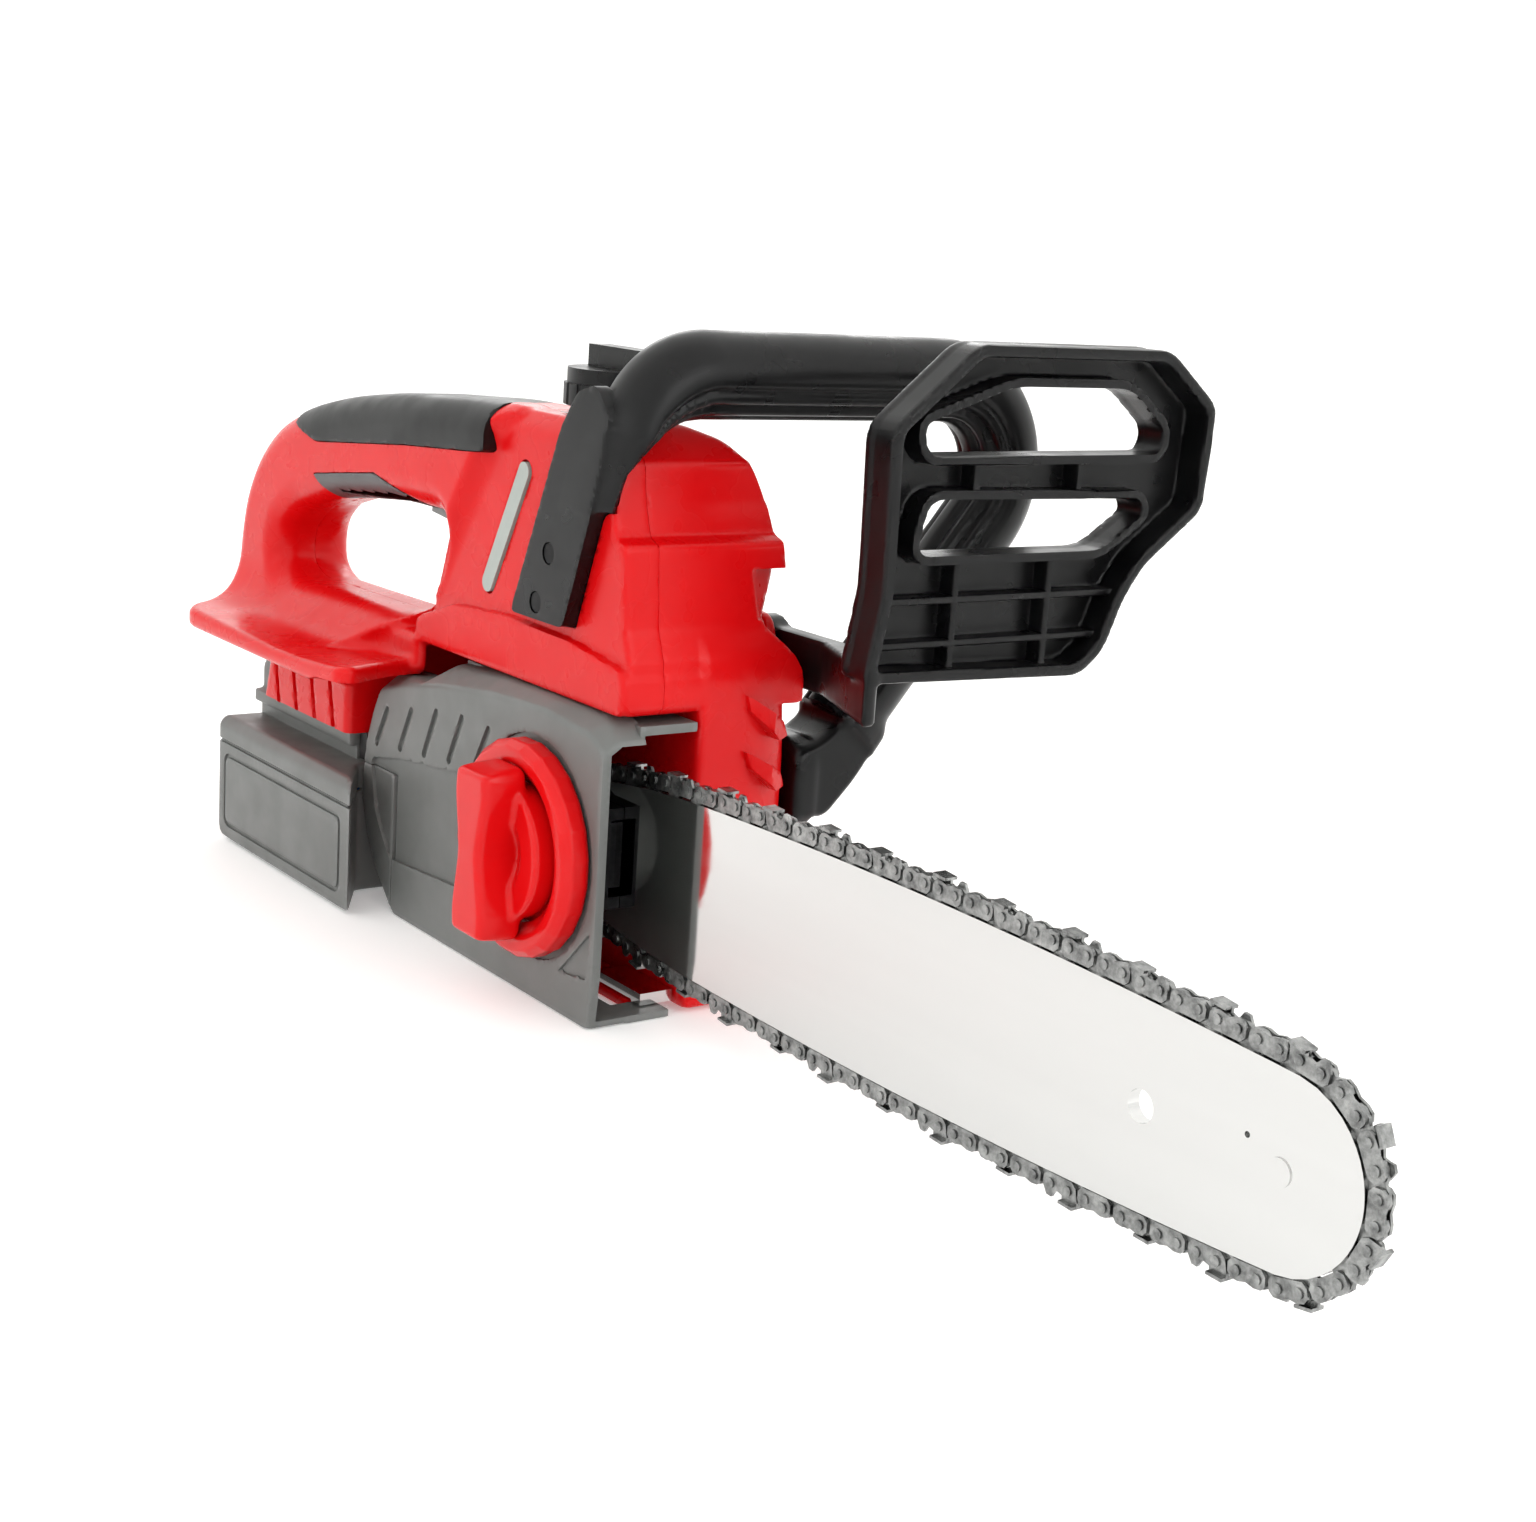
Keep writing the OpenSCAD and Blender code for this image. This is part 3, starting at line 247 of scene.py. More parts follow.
def moulded(name, field, low, high, cell):
    """The surface where field(x, y, z) = 0, a distance in mm, worked out on a grid of `cell` mm. Each
    crossed grid line gives a crossing and, from the field's slope there, a plane. Each crossed cell gets
    the point with the least squared distance to the planes on its edges, held lightly to the middle of
    its crossings, so that creases stay crisp. The points of the four cells round a crossed line make
    two triangles, split along the diagonal whose middle lies nearer to the surface."""
    low = np.array(low, float)
    count = np.ceil((np.array(high) - low) / cell).astype(int) + 1
    x, y, z = (low[k] + cell * np.arange(count[k]) for k in range(3))
    value = np.broadcast_to(field(x[:, None, None], y[None, :, None], z[None, None, :]), count)
    inside = value < 0
    last = count - 1
    corners = [inside[i:last[0] + i, j:last[1] + j, k:last[2] + k] for i, j, k in product((0, 1), repeat=3)]
    crossed = np.any(corners, 0) & ~np.all(corners, 0)
    number = np.full(crossed.shape, -1)
    number[crossed] = np.arange(crossed.sum())
    home = low + cell * (np.argwhere(crossed) + 0.5)
    quads, sums = [], np.zeros((len(home), 16))
    for a in range(3):
        along, b, c = (np.eye(3, dtype=int)[(a + k) % 3] for k in range(3))
        first, second = (np.take(inside, np.arange(s, last[a] + s), a) for s in (0, 1))
        spot = np.argwhere(first != second)
        side = spot @ np.stack([b, c], 1)
        spot = spot[np.all((side > 0) & (side < last @ np.stack([b, c], 1)), 1)]
        near, far = value[tuple(spot.T)], value[tuple((spot + along).T)]
        start, stop = np.zeros(len(spot)), np.ones(len(spot))
        for _ in range(2):
            t = start + (stop - start) * near / (near - far)
            here = field(*(low + cell * (spot + t[:, None] * along)).T)
            same = (here < 0) == (near < 0)
            start, near = np.where(same, t, start), np.where(same, here, near)
            stop, far = np.where(same, stop, t), np.where(same, far, here)
        t = start + (stop - start) * near / (near - far + 1e-12 * (near == far))
        p = low + cell * (spot + t[:, None] * along)
        here = field(*p.T)
        slope = np.stack([field(*(p + 0.02 * np.eye(3)[k]).T) - here for k in range(3)], 1)
        slope /= np.maximum(np.linalg.norm(slope, axis=1, keepdims=True), 1e-9)
        squares = (slope[:, :, None] * slope[:, None]).reshape(-1, 9)
        rows = np.concatenate([squares, slope * (slope * p).sum(1, keepdims=True), p, np.ones((len(p), 1))], 1)
        quad = np.stack([number[tuple((spot - s).T)] for s in (0 * b, b, b + c, c)], 1)
        sums += np.stack([sum(np.bincount(quad[:, j], row, len(home)) for j in range(4)) for row in rows.T], 1)
        quads.append(np.where(first[tuple(spot.T)][:, None], quad, quad[:, ::-1]))
    middle = sums[:, 12:15] / sums[:, 15:]
    pull = sums[:, :9].reshape(-1, 3, 3)
    aim = sums[:, 9:12] - (pull @ middle[..., None])[..., 0]
    hold, reach = 0.05, 0.55 * cell
    move = np.linalg.solve(pull + hold * sums[:, 15:, None] * np.eye(3), aim[..., None])[..., 0]
    points = np.clip(middle + move, home - reach, home + reach)
    q = np.concatenate(quads)
    one, two = (np.abs(field(*(0.5 * (points[q[:, j]] + points[q[:, j + 2]])).T)) for j in (0, 1))
    thirds = np.where((one <= two)[:, None], q[:, [0, 1, 2, 0, 2, 3]], q[:, [0, 1, 3, 1, 2, 3]]).reshape(-1, 3)
    return put(name, points, thirds, 48)


def dress(made, material, slot, body, *nodes):
    """Gives a piece its material and body and hides the CAD nodes that it stands for; slot is not used."""
    made.data.materials.clear()
    made.data.materials.append(material)
    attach(made, body)
    if nodes:
        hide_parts(*nodes)
    return made


# Places in the side view, in mm: bar stud, drive shaft, guard pin, lock-out button, front handle's
# tube and the two screws of its blade.
STUD_X, STUD_Z = 54, 51
SHAFT_X = 0
PIN_X, PIN_Z = 62, 116
LOCK_X, LOCK_Z = -48, 157.6
TUBE_X = 78
BLADE_SCREWS = ((49.7, 147), (42.9, 130))
# Outlines seen from the side: rear handle, its finger opening, soft grip, finger pad, tower, and the
# room the chain cover needs to slide off. The hand rests are seen from above, the hood from behind.
HANDLE_LINE = [(20, 190), (-3, 190.5), (-68, 186.5), (-110, 181), (-141, 174.5), (-165, 166), (-182, 153),
               (-194, 136), (-200, 114), (-200, 96), (-188, 84), (-30, 84), (-20, 104), (20, 128)]
GAP_LINE = [(-24, 149), (-62, 149), (-112, 144), (-146, 135), (-160, 124), (-161, 112), (-150, 106), (-60, 108),
            (-38, 114), (-26, 130)]
GRIP_LINE = [(6, 194), (-3, 194), (-68, 190), (-110, 184.5), (-146, 177), (-146, 168), (-124, 163), (-51, 170),
             (6, 174)]
PAD_LINE = [(-126, 151), (-75, 157.5), (-42, 149), (-50, 145), (-62, 147), (-106, 142), (-114, 141)]
TOWER_LINE = [(-40, 101.5), (92, 101.5), (93, 118), (89, 128), (86.5, 154.5), (81.5, 156.5), (78, 167), (76, 179),
              (64, 190), (-4, 190), (-20, 160), (-30, 130)]
COVER_ROOM = [(-71.6, 60), (-71.6, 83.4), (-64, 84.9), (-52, 88.4), (-27, 89.9), (-19, 98), (-19, 60)]
REST_LINE = [(-201, -30), (-192, 24), (-178, 44), (-168, 50), (-36, 50), (-31, 46), (-44, 22), (-44, -30)]
HOOD_LINE = [(-13, 101.5), (57, 101.5), (56, 112), (51, 119), (40, 129), (50, 145), (47, 165), (41.5, 178),
             (34, 185.5), (20, 190.3), (6, 191), (-7, 191), (-13, 184)]
# Outlines of the rooms inside: handle, tower, vent box and motor.
HANDLE_ROOM = [(4, 184), (-4, 183), (-68, 160), (-120, 154), (-150, 150), (-172, 138), (-180, 116), (-176, 104),
               (-166, 106), (-166, 126), (-150, 140), (-112, 149), (-60, 153), (4, 156)]
TOWER_ROOM = [(-34, 112), (86, 112), (86, 118), (82, 130), (72, 150), (60.5, 166), (56, 186), (4, 186), (-14, 160),
              (-24, 130)]
VENT_ROOM = [(-142, 61), (-76, 61), (-76, 83), (-136, 83)]
MOTOR_ROOM = [(-38, 4), (90, 4), (90, 104), (84, 109), (-38, 109)]


def trigger_room(x, y, z):
    """The slot in the handle for the trigger, and the hole behind it for the switch."""
    return np.minimum(block(x, y, z, -58, -21, -6.4, 6.4, 138, 163), block(x, y, z, -36, -12, -6.4, 6.4, 118, 163))


def right_leg(x, y, z):
    """Distance to the front handle's bend and right leg. The round section of 14 mm radius bends over
    on a radius of 22 mm, while its inner side moves outwards, and runs out into a leg 10 mm deep."""
    turn = np.where(z > 185, np.arctan2(np.maximum(18 - y, 0), np.maximum(z - 185, 1e-6)) / (np.pi / 2), 1)
    reach = np.where(z > 185, np.hypot(y - 18, z - 185), 18 - y)
    inner = 8 + 13 * turn ** 2.5 + np.clip(0.8 * (185 - z), 0, 7)
    middle, half = (36 - 1.2 * turn + inner) / 2, (36 - 1.2 * turn - inner) / 2
    lean = TUBE_X - 0.5 * np.maximum(188 - z, 0)
    around = np.arctan2(np.abs(x - lean), (middle - reach) * 14 / half)
    grooves = sum(np.exp(-((around - a) / 0.11) ** 2) for a in (0.35, 0.8, 1.25))
    bend = (np.hypot(x - lean, (reach - middle) * 14 / half) - 14 + 1.5 * grooves) * half / 15
    bend = np.maximum(bend, np.maximum(y - 18.01, 164 - z))
    leg = prism(outline([(40, 124.4), (60, 124.4), (79, 177), (82, 190), (62, 190)], x, z), y, -16.8, -8, 3.2)
    return join(bend, leg, 4)


def outer_body(x, y, z):
    """Handle loop, flared hand rests, ribbed vent box, tower and front block, joined by fillets."""
    side = np.abs(y)
    loop = prism(cut(outline(HANDLE_LINE, x, z, 16), outline(GAP_LINE, x, z, 12), 5), y, -18, 18, 11)
    rim = 90 + 4 * np.clip((x + 95) / 65, 0, 1) ** 2 + 1.5 * np.clip((-95 - x) / 80, 0, 1)
    rest = prism(outline(REST_LINE, x, side, 12), z, 80 + 6 * np.clip((side - 28) / 22, 0, 1), rim + 1.5, 2.4)
    step = (x + 13) * 0.827 - (z - 159) * 0.562 - (y + 18) * 1.2
    loop = meet(loop, np.where(z > 121, step, step + (121 - z) * 0.7), 1.5)
    shape = join(loop, rest, 20)
    vents = prism(outline([(-149, 50), (-72, 50), (-72, 90), (-138, 90)], x, z, 3), y, -27.5, 27.5, 3)
    slant = x + 0.22 * (z - 63)
    for start in (-132, -116, -100, -84):
        groove = np.maximum(26 - side, np.abs(z - 65) - 14)
        vents = cut(vents, np.maximum(np.abs(slant - start) - 1.5, groove), 0.8)
    shape = join(shape, vents, 2)
    tower = prism(outline(TOWER_LINE, x, z, 1.5), y, -13, 58, 1.5)
    tower = meet(tower, outline(HOOD_LINE, y, z, 3), 0.8)
    facet = (x - 86) * 0.86 + (y - 38) * 0.49 + (z - 146) * 0.16
    tower = np.maximum(tower, np.minimum(facet, np.minimum(146 - z, z - 129.5)))
    shape = join(shape, tower, 3)
    front = outline([(14, 0), (46, 0), (57, 24), (58, 79), (51, 119), (38, 131), (14, 131)], y, z, 6)
    block_line = outline([(-44, 0), (94, 0), (94, 118), (88, 128), (-44, 128)], x, z, 4)
    front = meet(prism(block_line, y, 14, 58, 2.5), front, 3)
    front = meet(front, (x + y * 0.75 - 128) / 1.25, 8)
    shape = join(shape, front, 1)
    ledge_line = [(-44, 101.6), (94, 101.6), (94, 116), (60, 120.5), (18, 121.5), (-18, 119), (-44, 110)]
    shape = join(shape, prism(outline(ledge_line, x, z, 5), y, -15.5, 30, 1.2), 1)
    shape = join(shape, block(x, y, z, -72, -40, -16, 30, 90, 104, 3), 3)
    shape = np.minimum(shape, block(x, y, z, -72, -40, 0, 30, 62, 104, 2))
    for line in ([(31, 107), (33, 101), (44, 91), (48.5, 92), (46, 97)],
                 [(32, 88), (34, 82), (44, 74), (48.5, 75), (46, 80)]):
        shape = np.minimum(shape, prism(outline(line, y, z), x, 86, 100 - 0.5 * np.abs(y - 40), 0.4))
    shape = np.minimum(shape, block(x, y, z, -44, 81, -5.5, 15, 0.2, 3))
    return np.minimum(shape, block(x, y, z, 30, 80, 2.2, 15, 33, 69, 0.6))


def body_field(x, y, z):
    """The outer body less the rooms for the parts inside, for the rails of the pack and for the
    pieces let into the outside."""
    shape = outer_body(x, y, z)
    motor_room = prism(outline(MOTOR_ROOM, x, z), y, 17, 54.6)
    shape = np.maximum(shape, -np.maximum(motor_room, (x + y * 0.75 - 123) / 1.25))
    tower_room = prism(outline(TOWER_ROOM, x, z), y, -10, 48)
    shape = np.maximum(shape, -np.maximum(tower_room, outline(HOOD_LINE, y, z, 3) + 2.2))
    handle_room = prism(outline(HANDLE_ROOM, x, z), y, -14, 14)
    handle_room = np.maximum(handle_room, np.abs(y) - np.where(x > -26, 9.8, 14))
    rooms = (handle_room, prism(outline(VENT_ROOM, x, z), y, -23, 23), block(x, y, z, -68, -37, -13, 27, 66, 100),
             block(x, y, z, -172, -71, -20.8, 20.8, 40, 61.4), block(x, y, z, -172, -71, -23.8, 23.8, 54.2, 61.4),
             block(x, y, z, -24, 5, -8.8, 8.8, 157, 176), prism(outline(GRIP_LINE, x, z, 3), y, -19.4, 19.4),
             prism(outline(PAD_LINE, x, z), y, -19, 19), trigger_room(x, y, z), right_leg(x, y, z) - 0.4,
             prism(outline(COVER_ROOM, x, z), y, -70, -5.2), prism(np.hypot(x - 37, y - 16) - 13, z, 180, 200))
    for room in rooms:
        shape = np.maximum(shape, -room)
    # round holes: drive shaft, bar stud, brake drum, lock-out button and its collar, guard pin, screw
    for cx, cz, r, y0, y1 in ((SHAFT_X, STUD_Z, 11, 1, 18), (STUD_X, STUD_Z, 4.1, 0, 18),
                              (SHAFT_X, STUD_Z, 25.6, 5, 13.5), (LOCK_X, LOCK_Z, 5.4, 10, 60),
                              (LOCK_X, LOCK_Z, 7, 6.3, 14.4), (PIN_X, PIN_Z, 4.1, 40, 60),
                              (-34, 158, 2.1, -14, 14)):
        shape = np.maximum(shape, -prism(np.hypot(x - cx, z - cz) - r, y, y0, y1))
    slot = stick(x, 0 * y - 13, z, (3.2, -13, 130), (24.4, -13, 170), 4.0)
    shape = np.maximum(shape, -np.maximum(slot, y + 9.6))
    for cx, cz in BLADE_SCREWS:
        shape = np.maximum(shape, -prism(np.hypot(x - cx, z - cz) - 2.1, y, -20, 0))
    return shape


left_shell = moulded("shell_left", lambda x, y, z: meet(body_field(x, y, z), 0.03 - y, 0.35),
                     (-204, -2, -2), (109, 62, 195), 1.6)
dress(left_shell, red_abs, "red_abs", "saw_body", "housing_left")
right_shell = moulded("shell_right", lambda x, y, z: meet(body_field(x, y, z), y + 0.03, 0.35),
                      (-204, -54, 60), (98, 2, 195), 1.45)
dress(right_shell, red_abs, "red_abs", "saw_body", "housing_right")

# ---------------------------------------------------------------------------------------------
# Motor cover: a flat red ABS lid screwed over the left shell, with a round pod over the motor whose
# slots let the cooling air out.


def pod_field(x, y, z):
    """A plate with rounded edges joined by a fillet to a hollow round pod with seven slots."""
    around = np.hypot(x - 28, z - 72)
    plate = outline([(-44, 0.3), (74, 0.3), (74, 118), (70, 127.7), (-44, 127.7)], x, z, 5)
    plate = prism(plate, y, 54.9, 58.7, 1.3)
    shape = np.maximum(join(plate, prism(around - 29, y, 55, 67, 3), 4), -prism(around - 26, y, 50, 64))
    for k in range(-3, 4):
        shape = np.maximum(shape, -block(x, y, z, 26.4 + 6 * k, 29.6 + 6 * k, 60, 70, 54 + abs(k), 90 - abs(k)))
    return np.maximum(shape, 6.5 - np.hypot(x - PIN_X, z - PIN_Z))


pod = moulded("motor_cover_pod", pod_field, (-46, 52, -2), (77, 69, 130), 1.0)
dress(pod, red_abs, "red_abs", "saw_body", "motor_cover")

# ---------------------------------------------------------------------------------------------
# Rear grip and finger pad: black rubber moulded over the crest of the rear handle, and a grey
# pad let into its underside, both standing a little proud of the red shells.

# TPE over ABS: dark, soft highlights, a fine leather-like grain 0.6 mm wide.
soft_grip = finish("soft_grip_overmoulded_rubber", ("#080808", "#101010"), (0.3, 0.42), 0.6, 0.006, specular=0.25)


def grip_field(x, y, z):
    """The handle's own section, 0.6 mm larger, kept only over the crest."""
    loop = prism(outline(HANDLE_LINE, x, z, 16) - 0.6, y, -18.6, 18.6, 11.5)
    return meet(loop, np.maximum(outline(GRIP_LINE, x, z, 3) + 0.3, 162 - z), 0.8)


grip = moulded("rear_grip_rubber", grip_field, (-150, -20, 160), (9, 20, 194), 1.3)
dress(grip, soft_grip, "soft_grip", "saw_body", "rear_grip")
# TPE of the pad: the same rubber in a grey mix.
pad_rubber = finish("finger_pad_grey_rubber", ("#454647", "#505152"), (0.4, 0.52), 0.6, 0.02)


def pad_field(x, y, z):
    """The handle's own section, cut out by the side view of the pad and by the trigger's room."""
    loop = prism(cut(outline(HANDLE_LINE, x, z, 16), outline(GAP_LINE, x, z, 12), 5) - 0.4, y, -18.4, 18.4, 11.4)
    hollow = prism(outline([(-120, 154), (-75, 162), (-36, 154), (-52, 149.6), (-108, 146)], x, z), y, -14, 14)
    loop = meet(loop, outline(PAD_LINE, x, z, 3) + 0.25, 0.6)
    return np.maximum(np.maximum(loop, -hollow), -trigger_room(x, y, z))


pad = moulded("finger_pad_rubber", pad_field, (-128, -20, 139), (-40, 20, 160), 1.0)
dress(pad, pad_rubber, "soft_grip", "saw_body", "finger_pad")

# ---------------------------------------------------------------------------------------------
# Front handle: one moulding of black glass-filled nylon. A flat blade is screwed to the right of
# the tower, the tube bends over the top, slants down the left side and ends in a screwed foot.

# Glass-filled nylon: near black, satin, with a fine matt grain 0.4 mm wide from the spark-eroded mould.
black_nylon = finish("black_glass_filled_nylon", ("#080809", "#101011"), (0.26, 0.38), 0.45, 0.004, specular=0.24)


def handle_field(x, y, z):
    """A tube of 14 mm radius round a path of lines and arcs in the plane x = 78, with grooves along its
    inner side, joined to the right leg, the blade and the left foot by fillets."""
    far = np.hypot(y - 116, z - 177) - 30
    down = (y - 116) * 0.7660 - (z - 177) * 0.6428 - 30
    low = (y - 116) * 0.6428 + (z - 177) * 0.7660
    slants = (y > 60) & (low < 0) & (z < 183)
    out = np.where(slants, down, np.where(y > 116, far, z - 207))
    around = np.arctan2(np.abs(x - TUBE_X), -out)
    grooves = sum(np.exp(-((around - a) / 0.11) ** 2) for a in (0.35, 0.8, 1.25))
    tube = (np.hypot(x - TUBE_X, out) - 14 + 1.5 * grooves) * 0.9
    tube = np.maximum(tube, np.maximum(np.where(slants, -low - 88, -99), 18 - y))
    tube = np.minimum(tube, right_leg(x, y, z))
    blade_line = [(27, 124.4), (60, 124.4), (66, 140), (79, 177), (82, 194), (74, 203), (63, 200), (54, 188)]
    blade = prism(outline(blade_line, x, z, 3), y, -18, -13.05, 0.5)
    shape = join(tube, blade, 0.8)
    for cx, cz in BLADE_SCREWS:
        shape = np.maximum(shape, -prism(np.hypot(x - cx, z - cz) - 3.6, y, -20, -15.4))
        shape = np.maximum(shape, -prism(np.hypot(x - cx, z - cz) - 2, y, -20, -12))
    foot_line = [(60, 56), (86, 56), (90, 62), (90, 80), (84, 88), (64, 88), (58, 80)]
    foot = prism(outline(foot_line, x, z, 4), y, 58.05, 66, 1.5)
    strut = prism(outline([(58.05, 62), (58.05, 84), (70, 88), (82, 98), (96, 88), (84, 72), (72, 60)], y, z, 4),
                  x, 65, 90, 3)
    return join(join(shape, strut, 6), foot, 3)


handle = moulded("front_handle_tube", handle_field, (20, -20, 52), (94, 162, 224), 1.35)
dress(handle, black_nylon, "glass_nylon", "saw_body", "front_handle")

# ---------------------------------------------------------------------------------------------
# Hand guard: a ribbed lever of the same nylon in front of the handle. It turns about a steel pin on
# the left of the body and works the chain brake.
RIM_LINE = [(46, 197), (78, 223), (161, 223), (185, 205), (183, 170), (158, 152), (150, 141), (143, 124),
            (133, 116), (42, 118.5), (47, 147)]
WINDOWS = ([(95, 210), (146, 210), (163, 197), (162, 189), (62, 188.5), (59, 198)],
           [(64, 175), (155, 174), (157, 169), (139, 157.5), (60, 157.5)])


def guard_field(x, y, z):
    """A thin web with a deep rim, deep walls round its two windows and a grid of low ribs."""
    rim = outline(RIM_LINE, y, z, 5)
    shape = prism(rim, x, 128, 131.2, 1)
    shape = join(shape, prism(np.maximum(rim, -rim - 3.8), x, 128, 142, 1.1), 1.2)
    for line in WINDOWS:
        hole = outline(line, y, z, 6)
        shape = join(shape, prism(np.maximum(hole - 3, -hole), x, 128, 140, 1), 1.2)
    grid = np.minimum(np.abs(z - 129), np.abs(z - 143)) - 1.2
    grid = np.minimum(grid, np.maximum(np.minimum(np.abs(y - 79), np.abs(y - 119)) - 1.2, z - 158))
    posts = np.minimum(np.abs(y - 84), np.abs(y - 128)) - 1.2
    grid = np.where(z < 156, grid, np.maximum(posts, np.abs(z - 182) - 8))
    shape = join(shape, prism(np.maximum(grid, rim + 1), x, 129, 138, 0.8), 1)
    for line in WINDOWS:
        shape = cut(shape, outline(line, y, z, 6), 0.8)
    arm = outline([(142, 42), (142, 47), (100, 66.5), (54, 66.5), (54, 59.6), (97, 59.6)], x, y, 2)
    arm = prism(arm, z, 105, 123, 1.5)
    hub = prism(np.hypot(x - PIN_X, z - PIN_Z) - 10, y, 59.6, 66.5, 1)
    shape = join(shape, join(arm, hub, 2), 2)
    return np.maximum(shape, -prism(np.hypot(x - PIN_X, z - PIN_Z) - 4.05, y, 50, 72))


guard = moulded("hand_guard_lever", guard_field, (50, 38, 102), (144, 188, 226), 1.25)
dress(guard, black_nylon, "glass_nylon", "hand_guard", "hand_guard")

# ---------------------------------------------------------------------------------------------
# Sprocket cover: a dark grey glass-filled nylon moulding over the chain drive, held by the knob. Its
# rear corner is a separate panel that stays on the body and shuts the drive off from the battery.

# Grey nylon: even dark grey, satin, matt grain 0.4 mm wide, with a painted highlight that lightens the sharper outer
# edges.
grey_nylon = finish("dark_grey_glass_filled_nylon", ("#626462", "#6E706E"), (0.36, 0.5), 0.45, 0.006,
                    painted_edge_highlight="#8C8D8C")
FACE_LINE = [(-43, 0), (93.5, 0), (95, 18), (95, 91), (88, 95.5), (57, 97.8), (23, 96), (-13, 91.5), (-38.6, 86.5),
             (-57, 81.2), (-62, 72.3), (-67, 60), (-69.4, 46), (-69.4, 38), (-65, 25), (-57, 13)]
CASE_LINE = [(-43, 0), (93.5, 0), (95, 18), (95, 94), (90, 99), (84, 100.8), (54, 101.3), (21, 100.8),
             (-18.6, 97.2), (-26.6, 89.3), (-52, 87.7), (-62.5, 84.4), (-64, 74), (-67, 60), (-69.4, 46), (-69.4, 38),
             (-65, 25), (-57, 13)]
CHAIN_ROOM = [(-43, 2.5), (96, 2.5), (96, 90), (87, 93.2), (57, 95.3), (23, 93.5), (-13, 89), (-38, 84), (-55, 79),
              (-60, 71), (-64, 60), (-66.6, 46), (-66.6, 38.5), (-62, 26), (-54, 14.5)]


def case_field(x, y, z):
    """The whole outer skin: a tray whose upper edge slants back from the face, with five slots, a
    sunk panel, a sunk corner and a dish for the knob pressed into its face."""
    tray = meet(prism(outline(CASE_LINE, x, z, 1.5), y, -22, -5.8, 1),
                (outline(FACE_LINE, x, z, 3) - (y + 22) * 0.62) / 1.18, 1.2)
    for k in range(5):
        top, foot = (-51 + 18.4 * k, 0, 74.5 + (3.4 * k if k < 3 else 8.6)), (-58.5 + 18.2 * k, 0, 61 + 1.9 * k)
        tray = cut(tray, np.maximum(stick(x, 0 * y, z, top, foot, 1.5), y + 20.6), 0.4)
    around = np.hypot(x - STUD_X, z - STUD_Z)
    panel = outline([(-63, 54.5), (-40, 59), (12, 65), (20, 24), (-46, 20), (-58, 34)], x, z, 4)
    tray = cut(tray, np.maximum(np.maximum(panel, 40 - around), y + 20.5), 0.3)
    tray = cut(tray, np.maximum(outline([(74, 14), (91, 16), (92, 32)], x, z, 1.5), y + 20.9), 0.6)
    tray = cut(tray, np.maximum(around - 37.5, y + 20.6), 0.8)
    boss = prism(around - 19, y, -23, -8)
    flat = outline(CHAIN_ROOM, x, z, 2)
    room = prism(flat - 2.4 * np.clip((z - 70) / 15, 0, 1) * np.clip((x + 30) / 30, 0, 1), y, -18.9, 2)
    return tray, np.maximum(np.maximum(room, (flat - (y + 18.9) * 0.62) / 1.18), -boss)


def cover_field(x, y, z):
    """The part of the skin that comes off, hollow behind, with its top flange and front lip."""
    tray, room = case_field(x, y, z)
    shape = np.maximum(tray, -room)
    shape = np.minimum(shape, block(x, y, z, -18, 94, -8, 13.6, 95.6, 98.6, 0.5))
    shape = np.minimum(shape, block(x, y, z, 82, 93.5, -8, 9.4, 0, 2.5, 0.5))
    shape = np.maximum(shape, -block(x, y, z, -90, -44, -16, 5, -5, 84))
    shape = cut(shape, block(x, y, z, -90, -44.1, -30, 5, -5, 51.7), 0.6)
    shape = np.maximum(shape, -block(x, y, z, -48, 81.4, -5.9, 5, -5, 10))
    return np.maximum(shape, 16 - np.hypot(x - STUD_X, z - STUD_Z))


def rear_panel_field(x, y, z):
    """The part of the skin below and behind the split, and the wall that runs inwards from it."""
    tray, room = case_field(x, y, z)
    corner = np.maximum(np.maximum(x + 44.6, z - 51.3), y + 16)
    shape = meet(np.maximum(tray, -np.maximum(room, 8 - z)), corner, 0.6)
    return np.minimum(shape, block(x, y, z, -46.8, -44.6, -21.6, 18, 3, 51.2, 0.5))


cover = moulded("sprocket_cover_case", cover_field, (-72, -24, -2), (97, 15, 103), 1.0)
dress(cover, grey_nylon, "cover_grey", "cover", "sprocket_cover")
rear_panel = moulded("rear_panel_corner", rear_panel_field, (-72, -24, -1), (-43, 20, 53), 1.0)
dress(rear_panel, grey_nylon, "cover_grey", "saw_body", "rear_panel")

# ---------------------------------------------------------------------------------------------
# Tension ring and locking knob: red ABS, turned by hand. The ring winds the bar forwards, and the
# knob with its waisted grip clamps the cover and the bar to the stud.

# ABS of the knobs: the body's red with a harder gloss from a polished insert.
red_knob = finish("red_abs_polished_knob", ("#D4060B", "#DE090E"), (0.18, 0.26), 0.5, 0.001, coat=0.06,
                  specular=0.25)


def ring_field(x, y, z):
    """A faceted rim about the stud, dished inside, on a collar that reaches into the cover."""
    around, turn = np.hypot(x - STUD_X, z - STUD_Z), np.arctan2(z - STUD_Z, x - STUD_X)
    facet = around * np.cos((turn + np.pi / 24) % (np.pi / 12) - np.pi / 24)
    rim = prism(facet - 36, y, -31, -21, 2.6)
    rim = meet(rim, (facet - 33.5 - (y + 31) * 0.9) / 1.35, 0.6)
    dish = np.maximum(around - 24.4 - np.maximum(-27 - y, 0) * 1.3, y + 24.2)
    shape = cut(rim, dish, 1)
    return np.maximum(np.minimum(shape, prism(around - 15.4, y, -24.2, -14)), 11.4 - around)


